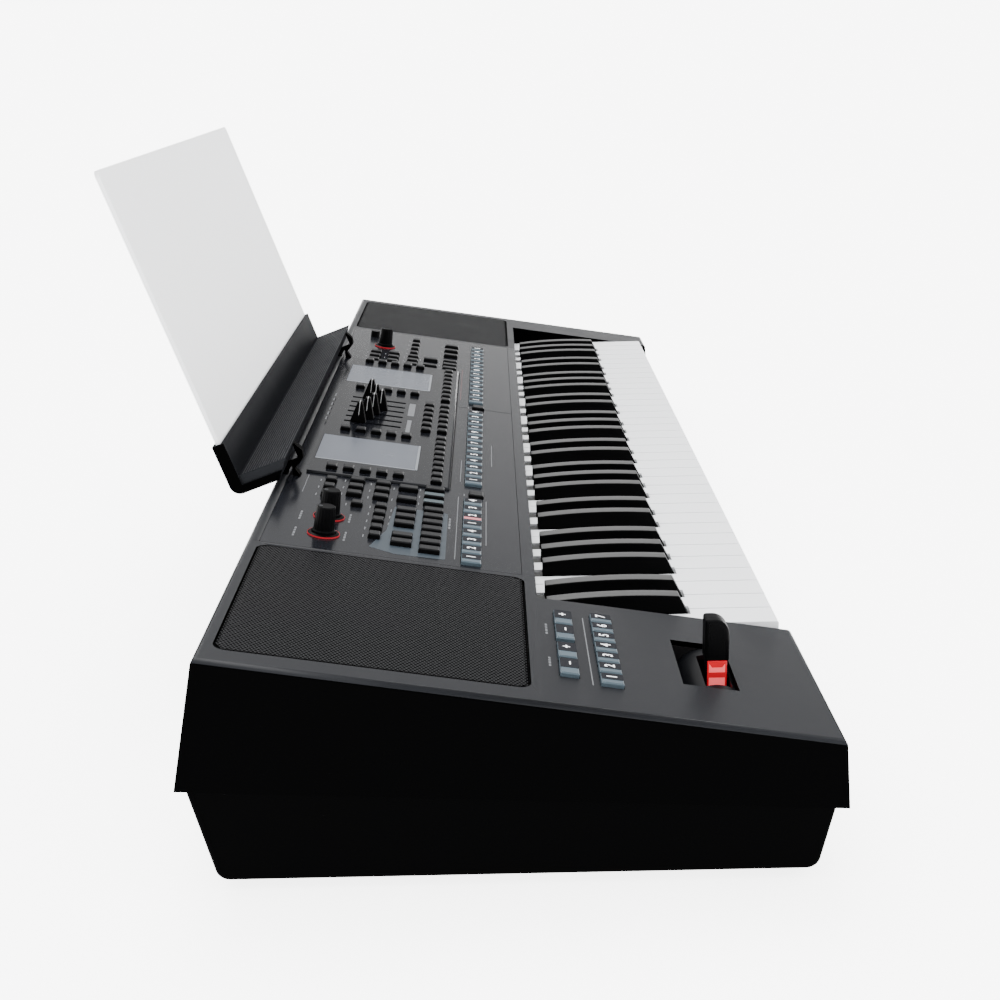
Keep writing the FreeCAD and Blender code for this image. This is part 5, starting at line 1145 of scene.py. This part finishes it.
@dataclass
class KeyBed(Assembly):
    """White and black keys, and the bed under them."""

    octaves: int = 5
    white_edge: float = 0.8 * MM
    black_edge: float = 0.9 * MM
    white_top: float = 83.1 * MM
    top_play: float = 0.3 * MM
    black_foot: float = 1.0 * MM
    shortest: float = 3.0 * MM
    facing_up: float = 0.6
    finishes = {
        "key_chassis": CHASSIS, "key_pivot_rod": STEEL, "key_springs": STEEL, "stop_felts": FELT,
        "contact_board": BOARD, "contact_domes": DOME}

    def build(self) -> None:
        """Makes the keys with soft edges."""
        for i in range(self.octaves):
            self._keys("white_keys_%d" % (i + 1), [KEY_WHITE], "key_white",
                       self.white_edge, self._on_white_top)
            self._keys("black_keys_%d" % (i + 1), [KEY_BLACK, KEY_BLACK_SHADE], "key_black",
                       self.black_edge, self._on_black_top)

    def _keys(self, node: str, finishes: Sequence[Finish], slot: str, edge: float,
              pick: Callable[[Edge], bool]) -> None:
        """Makes one octave's keys of one colour.

        Args:
            node: the keys' node.
            finishes: the first finish is on top and the last one at the sides, with painted shade
                at the sides of the black keys.
            slot: the record's slot.
            edge: the width of their soft edges.
            pick: says which edges are soft.
        """
        copy = self.shop.copy_of(node)
        self.shop.soften(copy, edge, pick)
        for face in copy.faces:
            # On the black keys the sides take painted shade.
            face.material_index = 0 if face.normal.z > self.facing_up else len(finishes) - 1
        self.shop.piece(node + "_tops", copy, finishes, node, slot, [node], smooth=40.0)

    def _on_white_top(self, edge: Edge) -> bool:
        """Whether an edge bounds the playing face of a white key."""
        high = all(v.co.z > self.white_top - self.top_play for v in edge.verts)
        return high and edge.calc_length() > self.shortest

    def _on_black_top(self, edge: Edge) -> bool:
        """Whether an edge stands above the white keys."""
        return all(v.co.z > self.white_top + self.black_foot for v in edge.verts)


@dataclass
class PitchLever(Assembly):
    """The lever with its lit lens, the drum that it swings on and their housing."""

    edge: float = 0.4 * MM
    shortest: float = 2.0 * MM
    lens_end: float = 0.8
    window_rise: float = 0.05 * MM
    windows: Tuple[Tuple[Place, ...], ...] = (
        ((-0.40, 0.03), (0.40, 0.03), (0.40, 0.43), (-0.40, 0.43)),
        ((-0.40, 0.61), (0.40, 0.61), (0.40, 0.90), (0.26, 0.77), (-0.26, 0.77), (-0.40, 0.90)))
    finishes = {"bender_housing": CHASSIS}

    def build(self) -> None:
        """Makes the softened lever, lens and drum, and the lens's bright windows of glow and
        painted highlight.
        """
        self._windows()
        for node, finish, slot, body in (
                ("bender_lever", DEEP_BLACK, "button_black", "bender_lever"),
                ("bender_lens", RED_LENS, "lit_red", "bender_lever"),
                ("bender_drum", DRUM, "button_black", "bender_drum")):
            copy = self.shop.copy_of(node)
            self.shop.soften(copy, self.edge, lambda e: e.calc_length() > self.shortest)
            for face in copy.faces:
                end = abs(face.normal.y) > self.lens_end
                face.material_index = int(node == "bender_lens" and end)
            self.shop.piece(node + "_skin", copy, [finish, DEEP_BLACK], body, slot, [node],
                            smooth=40.0)

    def _windows(self) -> None:
        """Lays the bright windows on both sides of the lens: its glow with painted highlight."""
        low, high = map(Vector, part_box("bender_lens"))
        middle, size = (low + high) / 2.0, high - low
        work = bmesh.new()
        for x in (low.x - self.window_rise, high.x + self.window_rise):
            for window in self.windows:
                corners = [(x, middle.y + y * size.y, low.z + z * size.z) for y, z in window]
                face = work.faces.new([work.verts.new(c) for c in corners])
                face.normal_update()
                if face.normal.x * (x - middle.x) < 0.0:
                    face.normal_flip()
        self.shop.piece("lens_windows", work, [RED_GLOW_HIGHLIGHT], "bender_lever", "lit_red")


@dataclass
class MusicRest(Assembly):
    """The tray with its ribbed ledge, the pale plate and the two hooks."""

    tilt: float = math.radians(-20.0)
    corner: Point = (3.0 * MM, 123.58 * MM, 130.90 * MM)
    edge: float = 0.4 * MM
    shortest: float = 3.0 * MM
    pad_height: float = 5.5 * MM
    pad_over: float = 1.5 * MM
    undercut: float = 0.75
    facing_end: float = 0.9
    ribs: int = 16
    first_rib: float = -29.4 * MM
    rib_pitch: float = 1.9 * MM
    rib_radius: float = 0.5 * MM
    rib_sink: float = 0.2 * MM
    rib_length: float = 480.0 * MM

    def build(self) -> None:
        """Makes the softened plate, tray and hooks, and the ribs of the tray's pad."""
        for node, finish, slot in (("music_rest_plate", REST_PALE, "rest_plate"),
                                   ("music_rest_tray", REST_DARK, "rest_tray"),
                                   # The hooks, like the tray's ends, are black without reflection:
                                   # painted shade.
                                   ("music_rest_hooks", BLACK_AND_SHADE, "rest_tray")):
            tray = node == "music_rest_tray"
            copy = self.shop.copy_of(node)
            if tray:
                self._slope_front(copy)
            self.shop.soften(copy, self.edge, lambda e: e.calc_length() > self.shortest)
            for face in copy.faces:
                face.material_index = self._finish_of(face) if tray else 0
            self.shop.piece(node + "_skin", copy, [finish, BLACK_AND_SHADE, REST_PAD], "music_rest", slot,
                            [node], smooth=40.0)
        self._pad_ribs()

    def _turn(self) -> Matrix:
        """The turn from the leaning tray's own places to the row frame."""
        return Matrix.Rotation(self.tilt, 3, "X")

    def _slope_front(self, copy: Work) -> None:
        """Slopes the front of the ledge back under its pad.

        Args:
            copy: the tray's copy.
        """
        for vert in copy.verts:
            at = self._turn().inverted() @ (vert.co - Vector(self.corner))
            if at.y < self.first_rib:
                at.y += (self.pad_height - at.z) * self.undercut
                vert.co = Vector(self.corner) + self._turn() @ at

    def _finish_of(self, face: bmesh.types.BMFace) -> int:
        """Which finish a face of the tray has: painted shade on its ends, black without reflection,
        with the pad's grey at its own.

        Args:
            face: the face.

        Returns:
            The finish's place in the list.
        """
        if abs(face.normal.x) < self.facing_end:
            return 0
        out = abs(face.calc_center_median().x - self.corner[0])
        return 2 if out < self.rib_length / 2.0 + self.pad_over else 1

    def _pad_ribs(self) -> None:
        """Lays the fine ribs along the ledge's pad."""
        first = Vector((0.0, self.first_rib, self.pad_height - self.rib_sink))
        place = Vector(self.corner) + self._turn() @ first
        sizes = {"Length": self.rib_length, "Radius": self.rib_radius, "Count": self.ribs,
                 "Pitch": self.rib_pitch, "Tilt": self.tilt, "Place": tuple(place)}
        ribs = self.shop.grow(self.shop.ribs, [Vector()], sizes)
        self.shop.piece("rest_pad_ribs", ribs, [REST_PAD], "music_rest", "rest_tray")


@dataclass
class Insides(Assembly):
    """Boards and sockets."""

    finishes = {"main_board": BOARD, "audio_board": BOARD, "rear_sockets": COMPONENT}


@dataclass
class Stage:
    """Floor, lights and the camera of the photograph."""

    floor_half: float = 30.0
    sun_power: float = 3.0
    sun_angle: float = math.radians(40.0)
    sun_way: Point = (-0.5, -0.1, -0.85)
    surround: Tuple[Bar, ...] = ((0.02, 0.07, 8.0, 1.0), (0.40, 0.70, 0.0, 2.6))
    lens: float = 56.547
    sensor: float = 36.0
    clip: Place = (0.05, 200.0)
    eye: Point = (-1.199356, -0.036100, 0.399440)
    right: Point = (-0.00796983, -0.99979338, -0.01869954)
    up: Point = (0.28241902, -0.02018934, 0.95907867)
    back: Point = (-0.95925804, 0.00236259, 0.28252157)

    def build(self) -> None:
        """Makes the floor, the lights and the camera."""
        self._floor()
        self._sun()
        self._sky()
        self._camera()

    def _floor(self) -> None:
        """Lays the pale floor."""
        work = bmesh.new()
        bmesh.ops.create_grid(work, x_segments=8, y_segments=8, size=self.floor_half)
        mesh = bpy.data.meshes.new("floor")
        work.to_mesh(mesh)
        work.free()
        mesh.materials.append(FLOOR.material())
        floor = bpy.data.objects.new("floor", mesh)
        bpy.context.scene.collection.objects.link(floor)

    def _sun(self) -> None:
        """Hangs a wide soft light high on the far side."""
        data = bpy.data.lights.new("soft_light", "SUN")
        data.energy = self.sun_power
        data.angle = self.sun_angle
        lamp = bpy.data.objects.new("soft_light", data)
        lamp.rotation_euler = Vector(self.sun_way).to_track_quat("-Z", "Y").to_euler()
        bpy.context.scene.collection.objects.link(lamp)

    def _sky(self) -> None:
        """Makes the surround: white at the horizon, dimmer above it and bright overhead."""
        world = bpy.data.worlds.new("studio")
        world.use_nodes = True
        tree = world.node_tree
        coords = add_node(tree, "ShaderNodeTexCoord")
        split = add_node(tree, "ShaderNodeSeparateXYZ", {"Vector": coords.outputs["Generated"]})
        total = add_node(tree, "ShaderNodeMath")
        for target, limits in zip(total.inputs, self.surround):
            feeds = dict(zip(("From Min", "From Max", "To Min", "To Max"), limits))
            feeds["Value"] = split.outputs["Z"]
            ramp = add_node(tree, "ShaderNodeMapRange", feeds, interpolation_type="SMOOTHSTEP")
            feed(tree, target, ramp.outputs["Result"])
        background = tree.nodes["Background"]
        feed(tree, background.inputs["Strength"], total.outputs["Value"])
        feed(tree, background.inputs["Color"], WHITE)
        bpy.context.scene.world = world

    def _camera(self) -> None:
        """Sets the camera where the photograph was taken from."""
        data = bpy.data.cameras.new("camera")
        data.lens = self.lens
        data.sensor_width = self.sensor
        data.clip_start, data.clip_end = self.clip
        camera = bpy.data.objects.new("camera", data)
        turn = Matrix((self.right, self.up, self.back)).transposed().to_4x4()
        camera.matrix_world = Matrix.Translation(self.eye) @ turn
        bpy.context.scene.collection.objects.link(camera)
        bpy.context.scene.camera = camera


def main() -> None:
    """Builds and dresses the sub-assemblies in order."""
    logging.basicConfig(level=logging.INFO, format="%(message)s")
    shop = Workshop()
    for kind in (Casing, SpeakerGrilles, ControlPanel, Buttons, Knobs, Sliders, KeyBed,
                 PitchLever, MusicRest, Insides):
        part = kind(shop)
        part.build()
        part.dress()
    Stage().build()
    log.info("%d pieces made", len(shop.made))


if __name__ == "__main__":
    main()
